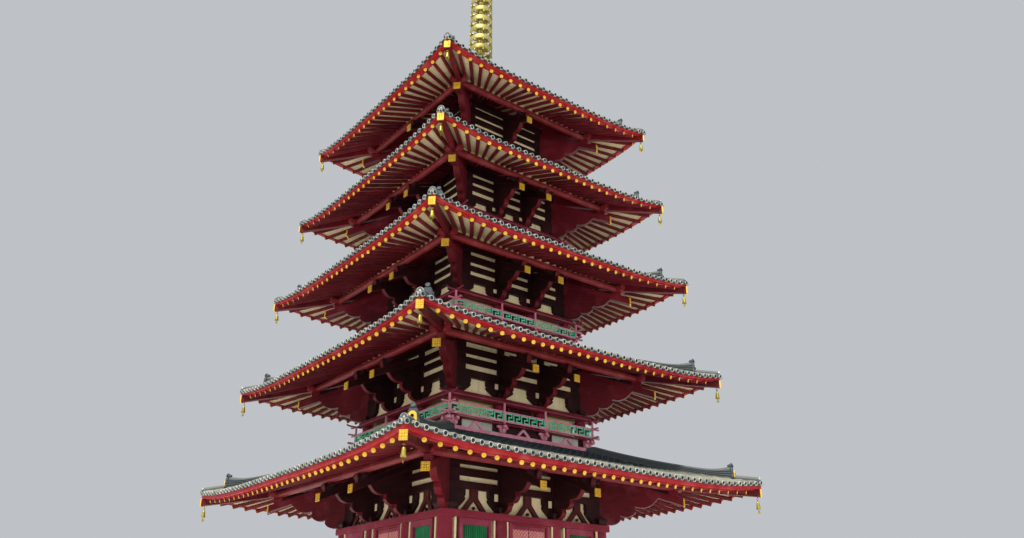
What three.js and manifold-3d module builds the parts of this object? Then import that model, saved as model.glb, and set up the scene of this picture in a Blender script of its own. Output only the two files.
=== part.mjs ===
// A five-storey timber temple pagoda on a stone podium, with double doors on the ground floor,
// deep tiled roofs, balconies on the upper storeys and a gilded mast of nine rings.
// Millimetres, +Z up, +X east, -Y south. The origin is at ground level on the vertical axis.
import * as THREE from 'three';
import { mergeVertices } from 'three/addons/utils/BufferGeometryUtils.js';
import Module from 'manifold-3d';

const wasm = await Module();
wasm.setup();

// Driving dimensions of each storey, from the ground up.
// wall: half-width of the column ring; inner: offset of the two middle columns (0 = one middle column);
// radius: column radius; base: underside of the storey; headTop: top of the head beam;
// purlin: half-width of the outer purlin; tailEnd, tailZ: outer end of the tail rafters;
// cornerEnd, cornerZ: the same on the diagonal; rafterEnd, rafterZ, slope: centre line of the rafters;
// edge, edgeZ: tile edge at the middle of the eave; rows: rows of cover tiles on each side.
const storeys = [
  { wall: 3650, inner: 1280, radius: 295, base: 1250, headTop: 5860, plateBottom: 6620, purlin: 5760,
    tailEnd: 6141, tailZ: 6600, cornerEnd: 6040, cornerZ: 6690,
    rafterEnd: 8050, rafterZ: 6700, slope: 0.356, edge: 8276, edgeZ: 7140, rows: 50 },
  { wall: 3200, inner: 1030, radius: 240, base: 8770, headTop: 10250, plateBottom: 10890, purlin: 4920,
    tailEnd: 5484, tailZ: 10990, cornerEnd: 5440, cornerZ: 11080,
    rafterEnd: 7240, rafterZ: 11150, slope: 0.373, edge: 7464, edgeZ: 11520, rows: 45 },
  { wall: 2800, inner: 880, radius: 215, base: 13120, headTop: 14550, plateBottom: 15040, purlin: 4460,
    tailEnd: 4840, tailZ: 15290, cornerEnd: 4880, cornerZ: 15290,
    rafterEnd: 6525, rafterZ: 15420, slope: 0.41, edge: 6728, edgeZ: 15800, rows: 41 },
  { wall: 2450, inner: 750, radius: 195, base: 17250, headTop: 18600, plateBottom: 19040, purlin: 4080,
    tailEnd: 4328, tailZ: 19360, cornerEnd: 4400, cornerZ: 19360,
    rafterEnd: 5980, rafterZ: 19430, slope: 0.4, edge: 6162, edgeZ: 19770, rows: 37 },
  { wall: 2100, inner: 0, radius: 180, base: 21150, headTop: 22420, plateBottom: 22830, purlin: 3620,
    tailEnd: 3943, tailZ: 23260, cornerEnd: 4060, cornerZ: 23230,
    rafterEnd: 5540, rafterZ: 23330, slope: 0.447, edge: 5766, edgeZ: 23690, rows: 35 },
];
const gap = 0.3; // kept between touching pieces
const bite = 10; // how far parts of one solid run into each other

// Podium and stairs.
const podium = { half: 5700, height: 1250, foot: 5860, footHeight: 220, coping: 5800, copingHeight: 230 };
const stair = { width: 2600, cheek: 340, tread: 300, risers: 7 };

// Walls, beams and doors.
const plaster = { outside: 50, inside: 290, thicker: 60 };
const sill = { height: 200, half: 160 };
const headBeam = { height: 250, outside: 290, inside: 40 };
const door = { half: 800, top: 5540, thick: 80, leafGap: 10, offset: 50, pin: 25 };
const upperDoor = { half: 520, thick: 60 };
const window = { half: 560, bottom: 3000, top: 5390 };

// Brackets and purlins.
const plate = { outside: 130, inside: 40 };
const arm = { thick: 240, root: -40, block: 130, tailHeight: 290, tailSlope: 0.45 };
// The stepped underside of a bracket arm: shares of its reach, and heights above the head beam.
const armSteps = { heel: 0.17, toe: 0.24, toeRise: 190, lip: 0.42, lipRise: 250, brow: 0.5, browRise: 430, meet: 0.7 };
const purlinSize = { half: 95, height: 220, past: 450 };

// Roofs.
const rafter = { radius: 75 };
const hip = { width: 270, height: 300, past: 98, into: 30 };
const tile = { thick: 150, overhang: 96 };
// Every fourth row of cover tiles is a rib; the hollow tiles between the ribs lie lower by drop.
const coverRow = { every: 4, drop: 60, rise: 15, foot: 100, footHalf: 160, inset: 10, into: 60, least: 950 };
const eaveLift = { height: 350, along: 4, outward: 1.5 };
const ridge = { width: 340, height: 230, foot: 100, endInset: 890, endRise: 230, endLength: 200, tail: 110 };
const sideSpots = [0.5, 0.83, 1]; // shares of the half-side where the slopes' facets meet
const cornerSpots = [-1, -0.83, -0.5, 0.5, 0.83];

// Balconies.
const balcony = { base: 270, baseHeight: 120, neck: 200, neckTop: 360, deck: 420, deckHeight: 120 };
const rail = { out: 365, belowHead: 150, panelBelow: 360, topHeight: 80, post: 90, past: 300 };

// Finial.
const finial = { bottom: 26750, top: 39200, basinHalf: 760, basinHeight: 950, ringStart: 29500, ringPitch: 620 };
const rings = { count: 9, radius: 600, topRadius: 550, wide: 90, tall: 120, mast: 120 };

const finish = (colour, roughness, metalness = 0) =>
  new THREE.MeshStandardMaterial({ color: colour, roughness, metalness });
const redTimber = 0x8e1c1a;
const paleTimber = 0xa8464a;
const plasterWhite = 0xe2d9bd;
const roofGrey = 0x4a524e;
const granite = 0xa8a296;
const gold = 0xd9a536;

// Solids.
function solid(geometry) {
  const bare = geometry.index ? geometry.clone() : geometry;
  bare.deleteAttribute('normal');
  bare.deleteAttribute('uv');
  const merged = mergeVertices(bare, 0.01);
  const positions = merged.getAttribute('position').array;
  const corners = merged.getIndex().array;
  const triangles = [];
  for (let i = 0; i < corners.length; i += 3) {
    const [a, b, c] = [corners[i], corners[i + 1], corners[i + 2]];
    if (a !== b && b !== c && a !== c) triangles.push(a, b, c);
  }
  const body = new wasm.Manifold(new wasm.Mesh({
    numProp: 3,
    vertProperties: new Float32Array(positions),
    triVerts: new Uint32Array(triangles),
  }));
  return body;
}

function joined(parts) {
  return parts.reduce((whole, part) => whole.add(part));
}

function box(x0, x1, y0, y1, z0, z1) {
  const geometry = new THREE.BoxGeometry(x1 - x0, y1 - y0, z1 - z0);
  geometry.translate((x0 + x1) / 2, (y0 + y1) / 2, (z0 + z1) / 2);
  return solid(geometry);
}

function column(radius, z0, z1, sides, x = 0, y = 0) {
  const geometry = new THREE.CylinderGeometry(radius, radius, z1 - z0, sides);
  geometry.rotateX(Math.PI / 2);
  geometry.translate(x, y, (z0 + z1) / 2);
  return solid(geometry);
}

function turnedProfile(points, sides) {
  const geometry = new THREE.LatheGeometry(points.map(([r, z]) => new THREE.Vector2(r, z)), sides);
  geometry.rotateX(Math.PI / 2);
  return solid(geometry);
}

// An upright outline in the outward (r) and height (z) directions, thickened across, facing +X.
function upright(points, thick) {
  const shape = new THREE.Shape(points.map(([r, z]) => new THREE.Vector2(r, z)));
  const geometry = new THREE.ExtrudeGeometry(shape, { depth: thick, bevelEnabled: false });
  geometry.translate(0, 0, -thick / 2);
  geometry.rotateX(Math.PI / 2);
  return solid(geometry);
}

const turned = (part, degrees) => part.rotate([0, 0, degrees]);
const fourSides = (part) => joined([0, 90, 180, 270].map((angle) => turned(part, angle)));

// A square frame of box section between two half-widths.
function squareFrame(inside, outside, z0, z1) {
  const block = box(-outside, outside, -outside, outside, z0, z1);
  return block.subtract(box(-inside, inside, -inside, inside, z0 - 1, z1 + 1));
}

// A ring around a square plan from a closed section of { d, z(s) } points,
// where d is the half-width and s runs from -1 to 1 along each side.
// The facets' diagonals depend only on d and s, so that two rings with a shared surface fit closely.
function squareRing(section) {
  const spans = cornerSpots.length;
  const around = 4 * spans;
  const positions = [];
  const index = [];
  for (let j = 0; j < around; j += 1) {
    const s = cornerSpots[j % spans];
    const turn = Math.floor(j / spans) * Math.PI / 2;
    for (const { d, z } of section) {
      const [x, y] = [d, s * d];
      positions.push(x * Math.cos(turn) - y * Math.sin(turn), x * Math.sin(turn) + y * Math.cos(turn), z(s));
    }
  }
  for (let j = 0; j < around; j += 1) {
    const next = (j + 1) % around;
    const towardsCorner = Math.abs(cornerSpots[next % spans]) > Math.abs(cornerSpots[j % spans]);
    for (let v = 0; v < section.length; v += 1) {
      const w = (v + 1) % section.length;
      const [a, b, c, d] = [[j, v], [next, v], [next, w], [j, w]].map(([row, spot]) => row * section.length + spot);
      const inwards = section[v].d > section[w].d;
      if (inwards === towardsCorner) index.push(a, b, d, b, c, d);
      else index.push(a, b, c, a, c, d);
    }
  }
  const geometry = new THREE.BufferGeometry();
  geometry.setAttribute('position', new THREE.Float32BufferAttribute(positions, 3));
  geometry.setIndex(index);
  return solid(geometry);
}

// The value at a place between two neighbouring spots of a list, on a straight line between them.
function blend(spots, place, value) {
  const next = spots.findIndex((spot, i) => i > 0 && (place - spot) * (place - spots[i - 1]) <= 0);
  const [p, q] = [spots[next - 1], spots[next]];
  return value(p) + (value(q) - value(p)) * (place - p) / (q - p);
}

// Roof shape: heights as functions of the half-width d and the place s along the side.
function roofForm(storey, next) {
  const seat = next ? next.wall + balcony.base : finial.basinHalf;
  const seatZ = next ? next.base : finial.bottom;
  const flat = seat + 80;
  const flatIn = next ? seat - 350 : seat - 200;
  const liftFrom = Math.max(storey.wall, flat);
  const sag = next ? 110 : 330;
  const lift = (d, s) => {
    const out = Math.max(0, (d - liftFrom) / (storey.edge - liftFrom));
    return eaveLift.height * Math.abs(s) ** eaveLift.along * out ** eaveLift.outward;
  };
  const topZ = (d, s) => {
    const u = Math.min(1, (storey.edge - d) / (storey.edge - flat));
    return storey.edgeZ + (seatZ - storey.edgeZ) * u - sag * 4 * u * (1 - u) + lift(d, s);
  };
  const rafterZ = (d, s) => storey.rafterZ + storey.slope * (storey.rafterEnd - d) + lift(d, s);
  const fascia = storey.edge - tile.overhang;
  const stop = (fascia + flat) / 2;
  const facetZ = (d, s) => blend([storey.edge, stop, flat], d,
    (station) => blend(sideSpots, Math.max(sideSpots[0], Math.abs(s)), (spot) => topZ(station, spot)));
  return { topZ, facetZ, rafterZ, fascia, stop, flat, flatIn };
}

// Pieces of one storey.
function columnPlaces(storey) {
  const offsets = storey.inner ? [-storey.inner, storey.inner, storey.wall] : [0, storey.wall];
  return offsets.map((offset) => [storey.wall, offset]);
}

function columnRing(storey, z0, z1, grow = 0) {
  const sides = storey.base > podium.height ? 8 : 10;
  return fourSides(joined(columnPlaces(storey).map(([x, y]) => column(storey.radius + grow, z0, z1, sides, x, y))));
}

function headBeamRing(storey) {
  return squareFrame(storey.wall - headBeam.inside, storey.wall + headBeam.outside,
    storey.headTop - headBeam.height, storey.headTop);
}

// Outline of a bracket arm with its slanting tail rafter and the block that lifts the purlin.
function armOutline(reach, tip, head, purlinAt, purlinBottom, slope) {
  const half = arm.tailHeight / 2;
  const line = (r) => tip + slope * (reach - r);
  const rootTop = line(arm.root) + half;
  return [
    [arm.root, head], [reach * armSteps.heel, head], [reach * armSteps.toe, head + armSteps.toeRise],
    [reach * armSteps.lip, head + armSteps.lipRise], [reach * armSteps.brow, head + armSteps.browRise],
    [reach * armSteps.meet, line(reach * armSteps.meet) - half], [reach, tip - half], [reach, tip + half],
    [purlinAt + arm.block, line(purlinAt + arm.block) + half], [purlinAt + arm.block, purlinBottom + bite],
    [purlinAt - arm.block, purlinBottom + bite], [purlinAt - arm.block, line(purlinAt - arm.block) + half],
    [arm.root, rootTop],
  ];
}

// Brackets on the columns, the solid wall plate that they carry, and the outer purlins.
function brackets(storey, form) {
  const { wall, purlin, plateBottom } = storey;
  const head = storey.headTop + gap;
  const purlinTop = form.rafterZ(purlin + purlinSize.half, 0) - rafter.radius - gap;
  const purlinBottom = purlinTop - purlinSize.height;
  const plateTop = form.rafterZ(wall + plate.outside, 0) - rafter.radius - gap;
  const wallPlate = squareFrame(wall - plate.inside, wall + plate.outside, plateBottom, plateTop);
  const purlinBar = box(purlin - purlinSize.half, purlin + purlinSize.half,
    -purlin - purlinSize.past, purlin + purlinSize.past, purlinBottom, purlinTop);
  const straight = upright(armOutline(storey.tailEnd - wall, storey.tailZ, head, purlin - wall, purlinBottom,
    arm.tailSlope), arm.thick).translate([wall, 0, 0]);
  const places = storey.inner ? [-storey.inner, storey.inner] : [0];
  const side = joined([purlinBar, ...places.map((place) => straight.translate([0, place, 0]))]);
  const slant = Math.SQRT2;
  const corner = upright(armOutline((storey.cornerEnd - wall) * slant, storey.cornerZ, head,
    (purlin - wall) * slant, purlinBottom, arm.tailSlope / slant), arm.thick).translate([wall * slant, 0, 0]);
  return joined([wallPlate, fourSides(side.add(turned(corner, 45)))]).subtract(under(storey, form));
}

function eaves(storey, form, grow = 0) {
  const inner = storey.wall - plaster.inside;
  const underside = (d) => ({ d, z: (s) => form.rafterZ(d, s) - rafter.radius });
  const upper = (d) => ({ d, z: (s) => form.topZ(d, s) - tile.thick - gap });
  const middle = (storey.rafterEnd + storey.wall) / 2;
  const slab = squareRing([underside(inner), underside(middle), underside(storey.rafterEnd),
    upper(form.fascia), upper(form.stop), upper(form.flat), upper(inner)]);
  const ends = [storey.wall + 250, middle, storey.rafterEnd + hip.past];
  const low = ends.map((d) => [d * Math.SQRT2, form.rafterZ(d, 1) - hip.height / 2]);
  const high = ends.map((d) => [d * Math.SQRT2, form.rafterZ(d, 1) + hip.into]).reverse();
  return slab.add(fourSides(turned(upright([...low, ...high], hip.width + 2 * grow), 45)));
}

// The space that the eaves take up, with the gap that the pieces below keep to them.
const under = (storey, form) => eaves(storey, form, gap).translate([0, 0, -gap]);

// One row of cover tiles on the east slope: a low rib from the eave up to the hip or the flat top.
function coverRib(storey, form, y) {
  const start = storey.edge - coverRow.inset;
  const hipEnd = Math.abs(y) + coverRow.into;
  const stations = hipEnd > form.stop ? [start, hipEnd] : [start, form.stop, Math.max(hipEnd, form.flat)];
  const positions = [];
  for (const d of stations) {
    const slope = form.facetZ(d, Math.min(1, y / d));
    const rise = d === form.flat ? -coverRow.rise : coverRow.rise;
    positions.push(d, y - coverRow.footHalf, slope - coverRow.foot, d, y + coverRow.footHalf, slope - coverRow.foot);
    positions.push(d, y, slope + rise);
  }
  const last = 3 * (stations.length - 1);
  const index = [0, 1, 2, last, last + 2, last + 1];
  for (let ring = 0; ring < last; ring += 3) {
    for (let a = 0; a < 3; a += 1) {
      const b = (a + 1) % 3;
      index.push(ring + a, ring + 3 + a, ring + 3 + b, ring + a, ring + 3 + b, ring + b);
    }
  }
  const geometry = new THREE.BufferGeometry();
  geometry.setAttribute('position', new THREE.Float32BufferAttribute(positions, 3));
  geometry.setIndex(index);
  return solid(geometry);
}

function coverRibs(storey, form) {
  const pitch = 2 * storey.edge / storey.rows;
  const first = storey.rows % 2 ? 0 : (coverRow.every + 1) / 2 * pitch;
  const ribs = [];
  for (let y = first; y < storey.edge - coverRow.least; y += coverRow.every * pitch) {
    ribs.push(coverRib(storey, form, y));
    if (y > 0) ribs.push(coverRib(storey, form, -y));
  }
  return joined(ribs);
}

function roof(storey, form) {
  const top = (d, drop) => ({ d, z: (s) => form.topZ(d, s) - drop });
  const under = (d) => ({ d, z: (s) => form.topZ(d, s) - tile.thick });
  const shell = squareRing([
    ...[storey.edge, form.fascia, form.stop, form.flat, form.flatIn].map(under).reverse(),
    top(storey.edge, coverRow.drop), top(form.stop, coverRow.drop), top(form.flat, 0), top(form.flatIn, 0),
  ]);
  const ridgeEnd = storey.edge - ridge.endInset;
  const at = (d, rise) => [d * Math.SQRT2, form.facetZ(d, 1) + rise];
  const outline = [
    at(form.flat, -ridge.foot), at(form.stop, -ridge.foot), at(ridgeEnd, -ridge.foot), at(form.fascia, -ridge.foot),
    at(form.fascia, ridge.tail), at(ridgeEnd, ridge.tail), at(ridgeEnd, ridge.height + ridge.endRise),
    at(ridgeEnd - ridge.endLength, ridge.height), at(form.stop, ridge.height), at(form.flat, ridge.height),
  ];
  return joined([shell, fourSides(coverRibs(storey, form)), fourSides(turned(upright(outline, ridge.width), 45))]);
}

function balconyFloor(storey) {
  const { wall, base } = storey;
  const deckOut = wall + balcony.deck;
  const foot = squareFrame(wall + balcony.base - 350, wall + balcony.base, base + gap, base + balcony.baseHeight);
  const neck = squareFrame(wall + balcony.base - 350, wall + balcony.neck, base + 60, base + balcony.neckTop + bite);
  const deck = box(-deckOut, deckOut, -deckOut, deckOut, base + balcony.neckTop,
    base + balcony.neckTop + balcony.deckHeight);
  return joined([foot, neck, deck]);
}

const deckTop = (storey) => storey.base + balcony.neckTop + balcony.deckHeight;

// Fretwork panels between the low and middle rails, posts, and a top rail that runs past the corners.
function railing(storey) {
  const out = storey.wall + rail.out;
  const reach = out + rail.past;
  const half = rail.post / 2;
  const floor = deckTop(storey) + gap;
  const top = storey.headTop - rail.belowHead;
  const panels = squareFrame(out - half, out + half, floor, top - rail.panelBelow);
  const handrail = box(out - half, out + half, -reach, reach, top - rail.topHeight, top);
  const places = storey.inner ? [-storey.inner, storey.inner, out] : [0, out];
  const posts = places.map((y) => box(out - half, out + half, y - half, y + half,
    top - rail.panelBelow - bite, top - rail.topHeight + bite));
  return joined([panels, fourSides(joined([handrail, ...posts]))]);
}

// Columns, the head beam on them and the four pairs of shut leaves between them.
function upperFrame(storey) {
  const floor = deckTop(storey) + gap;
  const top = storey.headTop - headBeam.height;
  const parts = [columnRing(storey, floor, top + bite), headBeamRing(storey)];
  if (storey.inner) {
    parts.push(fourSides(box(storey.wall - headBeam.inside, storey.wall + upperDoor.thick - headBeam.inside,
      -upperDoor.half, upperDoor.half, floor, top + bite)));
  }
  return joined(parts);
}

// Plastered wall: behind the columns up to the head beam, then out to the wall plate, cut by the rafters.
function upperWall(storey, form) {
  const inside = storey.wall - plaster.inside;
  const outside = storey.wall - plaster.outside;
  const behind = storey.wall - storey.radius - 2;
  const floor = deckTop(storey) + gap;
  const shoulder = storey.headTop - headBeam.height + bite + gap;
  const top = form.rafterZ(storey.wall, 0) + 2 * bite;
  const ring = squareFrame(inside - plaster.thicker, behind, floor, shoulder + 5)
    .add(squareFrame(inside - plaster.thicker, outside, shoulder, top));
  const wallSolid = ring.subtract(under(storey, form));
  if (!storey.inner) return wallSolid;
  const half = upperDoor.half - 60;
  const opening = box(inside - plaster.thicker - bite, outside + bite, -half, half,
    floor - bite, storey.headTop - headBeam.height - 60);
  return wallSolid.subtract(fourSides(opening));
}

// Ground floor.
function podiumBlock() {
  const { half, height, foot, footHeight, coping, copingHeight } = podium;
  return joined([
    box(-foot, foot, -foot, foot, 0, footHeight),
    box(-half, half, -half, half, footHeight - bite, height - bite),
    box(-coping, coping, -coping, coping, height - copingHeight, height),
  ]);
}

function stairFlight() {
  const riser = podium.height / stair.risers;
  const back = podium.foot + gap;
  const steps = [[back, 0]];
  for (let i = stair.risers - 1; i > 0; i -= 1) {
    const out = back + stair.tread * i;
    steps.push([out, riser * (stair.risers - 1 - i)], [out, riser * (stair.risers - i)]);
  }
  steps.push([back, riser * (stair.risers - 1)]);
  const run = back + stair.tread * (stair.risers - 1);
  const cheek = [[back, 0], [run + 260, 0], [run + 260, 150], [back, podium.height - 20]];
  const side = stair.width / 2 - stair.cheek / 2;
  return joined([
    upright(steps, stair.width - stair.cheek),
    upright(cheek, stair.cheek).translate([0, side, 0]),
    upright(cheek, stair.cheek).translate([0, -side, 0]),
  ]);
}

const ground = storeys[0];
const groundTop = ground.headTop - headBeam.height;

function groundFrame() {
  const { wall, inner, base, radius } = ground;
  const floor = base + gap;
  const jamb = box(wall - sill.half, wall + sill.half, door.half, inner - radius + 60, floor, groundTop + bite);
  const lintel = box(wall - sill.half, wall + sill.half, -inner, inner, door.top, groundTop + bite);
  const side = joined([jamb, jamb.mirror([0, 1, 0]), lintel]);
  return joined([
    columnRing(ground, floor, groundTop + bite),
    squareFrame(wall - sill.half, wall + sill.half, floor, base + sill.height),
    headBeamRing(ground),
    fourSides(side),
  ]);
}

// One plastered corner of the ground floor, between the two doorways beside it.
function groundCorner(frame) {
  const { wall, inner, base } = ground;
  const inside = wall - plaster.inside;
  const outside = wall - plaster.outside;
  const floor = base + gap;
  const leg = box(inside, outside, inner, outside, floor, groundTop);
  const middle = (inner + wall) / 2;
  const opening = box(inside - bite, outside + bite, middle - window.half, middle + window.half,
    window.bottom, window.top);
  const legs = leg.subtract(opening);
  return legs.add(turned(legs, 90).mirror([1, 0, 0])).subtract(frame);
}

function groundUpperWall(form) {
  const ring = squareFrame(ground.wall - plaster.inside, ground.wall - plaster.outside,
    groundTop + bite + gap, form.rafterZ(ground.wall, 0) + 2 * bite);
  return ring.subtract(under(ground, form));
}

// A leaf of the east doorway, hung at +Y on pins in the sill and the lintel.
const leafAxis = door.half - door.leafGap - door.thick / 2;
function doorLeaf() {
  const x = ground.wall + door.offset;
  const bottom = ground.base + sill.height;
  const half = door.thick / 2;
  return joined([
    box(x - half, x + half, door.leafGap, leafAxis, bottom + 12, door.top - 12),
    column(half, bottom + 12, door.top - 12, 8, x, leafAxis),
    column(door.pin, bottom + gap, door.top - gap, 8, x, leafAxis),
  ]);
}

function shutDoors() {
  const x = ground.wall + door.offset;
  const bottom = ground.base + sill.height;
  const half = door.thick / 2;
  return joined([
    box(x - half, x + half, -door.half + door.leafGap, door.half - door.leafGap, bottom + 12, door.top - 12),
    box(x - door.pin, x + door.pin, leafAxis - door.pin, leafAxis + door.pin, bottom + gap, door.top - gap),
    box(x - door.pin, x + door.pin, -leafAxis - door.pin, door.pin - leafAxis, bottom + gap, door.top - gap),
  ]);
}

// Finial.
function dewBasin() {
  const { bottom, basinHalf, basinHeight } = finial;
  const z = bottom + gap;
  const top = z + basinHeight;
  return joined([
    box(-basinHalf, basinHalf, -basinHalf, basinHalf, z, z + 120),
    box(-basinHalf + 70, basinHalf - 70, -basinHalf + 70, basinHalf - 70, z + 100, top - 100),
    box(-basinHalf, basinHalf, -basinHalf, basinHalf, top - 120, top),
    turnedProfile([[0, top - 20], [640, top - 20], [620, top + 240], [500, top + 470], [330, top + 590],
      [300, top + 690], [520, top + 760], [720, top + 960], [690, top + 1010], [400, top + 860], [0, top + 860]], 12),
  ]);
}

function ringMast() {
  const start = finial.bottom + finial.basinHeight + 860 + 2 * gap;
  const end = finial.ringStart + finial.ringPitch * rings.count - 150;
  const parts = [column(rings.mast, start, end, 8)];
  for (let i = 0; i < rings.count; i += 1) {
    const z = finial.ringStart + finial.ringPitch * i;
    const radius = rings.radius + (rings.topRadius - rings.radius) * i / (rings.count - 1);
    parts.push(turnedProfile([[radius - rings.wide, z - rings.tall / 2], [radius, z - rings.tall / 2],
      [radius, z + rings.tall / 2], [radius - rings.wide, z + rings.tall / 2],
      [radius - rings.wide, z - rings.tall / 2]], 10));
    parts.push(turned(box(-radius + 40, radius - 40, -30, 30, z - 30, z + 30), 90 * (i % 2)));
  }
  return joined(parts);
}

function waterFlame() {
  const start = finial.ringStart + finial.ringPitch * rings.count - 150 + gap;
  const outline = [[0, start + 200], [420, start + 260], [760, start + 560], [560, start + 760],
    [780, start + 1120], [500, start + 1280], [600, start + 1640], [300, start + 1760],
    [220, start + 2140], [0, start + 2200]];
  const side = upright(outline, 40);
  return joined([column(rings.mast - 20, start, start + 2420, 10), fourSides(side)]);
}

function jewels() {
  const start = finial.ringStart + finial.ringPitch * rings.count - 150 + 2420 + 2 * gap;
  const top = finial.top;
  return turnedProfile([[0, start], [90, start], [90, start + 200], [230, start + 270], [300, start + 440],
    [230, start + 610], [90, start + 690], [80, top - 900], [300, top - 760], [330, top - 560],
    [250, top - 330], [90, top - 140], [0, top]], 12);
}

// Assembly.
const pagoda = new THREE.Group();

function put(name, part, material) {
  const mesh = part.getMesh();
  const geometry = new THREE.BufferGeometry();
  geometry.setAttribute('position', new THREE.BufferAttribute(mesh.vertProperties, mesh.numProp));
  geometry.setIndex(new THREE.BufferAttribute(mesh.triVerts, 1));
  const node = new THREE.Mesh(geometry, material);
  node.name = name;
  pagoda.add(node);
}

put('podium', podiumBlock(), finish(granite, 0.85));
const flight = stairFlight();
['east', 'north', 'west', 'south'].forEach((side, i) => {
  put(`stair_${side}`, turned(flight, 90 * i), finish(granite, 0.85));
});

const frameSolid = groundFrame();
put('storey1_frame', frameSolid, finish(redTimber, 0.5));
const grownColumns = columnRing(ground, ground.base - bite, groundTop + bite + gap, gap)
  .add(squareFrame(ground.wall - sill.half - gap, ground.wall + sill.half + gap,
    ground.base - bite, ground.base + sill.height + gap));
const corner = groundCorner(grownColumns);
['northeast', 'northwest', 'southwest', 'southeast'].forEach((side, i) => {
  put(`storey1_wall_${side}`, turned(corner, 90 * i), finish(plasterWhite, 0.9));
});

const leafRight = doorLeaf();
const leafLeft = leafRight.mirror([0, 1, 0]);
put('door_east_right', leafRight, finish(paleTimber, 0.5));
put('door_east_left', leafLeft, finish(paleTimber, 0.5));
put('door_south_right', turned(leafRight, -90), finish(paleTimber, 0.5));
put('door_south_left', turned(leafLeft, -90), finish(paleTimber, 0.5));
put('doors_north', turned(shutDoors(), 90), finish(paleTimber, 0.5));
put('doors_west', turned(shutDoors(), 180), finish(paleTimber, 0.5));

storeys.forEach((storey, i) => {
  const level = `storey${i + 1}`;
  const form = roofForm(storey, storeys[i + 1]);
  if (i === 0) {
    put(`${level}_upper_wall`, groundUpperWall(form), finish(plasterWhite, 0.9));
  } else {
    put(`${level}_balcony`, balconyFloor(storey), finish(paleTimber, 0.55));
    put(`${level}_railing`, railing(storey), finish(paleTimber, 0.5));
    put(`${level}_frame`, upperFrame(storey), finish(redTimber, 0.5));
    put(`${level}_walls`, upperWall(storey, form), finish(plasterWhite, 0.9));
  }
  put(`${level}_brackets`, brackets(storey, form), finish(redTimber, 0.5));
  put(`${level}_eaves`, eaves(storey, form), finish(redTimber, 0.55));
  put(`${level}_roof`, roof(storey, form), finish(roofGrey, 0.75));
});

put('finial_basin', dewBasin(), finish(gold, 0.35, 0.9));
put('finial_rings', ringMast(), finish(gold, 0.35, 0.9));
put('finial_flame', waterFlame(), finish(gold, 0.35, 0.9));
put('finial_jewels', jewels(), finish(gold, 0.35, 0.9));

export default pagoda;
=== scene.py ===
import math
import bpy
import numpy as np
from mathutils import Matrix, Vector


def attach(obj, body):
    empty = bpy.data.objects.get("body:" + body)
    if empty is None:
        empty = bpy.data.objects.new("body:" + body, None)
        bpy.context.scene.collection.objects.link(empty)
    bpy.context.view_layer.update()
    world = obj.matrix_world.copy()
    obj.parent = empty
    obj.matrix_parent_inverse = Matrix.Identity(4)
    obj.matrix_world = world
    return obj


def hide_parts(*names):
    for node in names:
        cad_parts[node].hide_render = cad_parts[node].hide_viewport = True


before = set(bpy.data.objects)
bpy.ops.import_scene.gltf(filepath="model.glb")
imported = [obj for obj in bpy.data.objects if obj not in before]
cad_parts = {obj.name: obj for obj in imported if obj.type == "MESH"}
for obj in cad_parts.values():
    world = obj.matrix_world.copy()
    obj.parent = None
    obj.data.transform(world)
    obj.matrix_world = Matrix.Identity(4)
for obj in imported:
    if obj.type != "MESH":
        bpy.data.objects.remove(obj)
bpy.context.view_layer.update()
dice = np.random.default_rng(23)
root2 = math.sqrt(2)
east, north, up = np.eye(3)
diagonal = (east + north) / root2
acrossDiagonal = (north - east) / root2


# shader maths

def tint(code):
    parts = [int(code[i:i + 2], 16) / 255 for i in (0, 2, 4)]
    return tuple(v / 12.92 if v <= 0.04045 else ((v + 0.055) / 1.055) ** 2.4 for v in parts) + (1.0,)


def tinted(look):  # the same settings, their colour codes turned into colours
    return {key: tint(value) if isinstance(value, str) else value for key, value in look.items()}


def asColour(value):
    if isinstance(value, (int, float)):
        return (value, value, value, 1.0)
    return value


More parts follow.
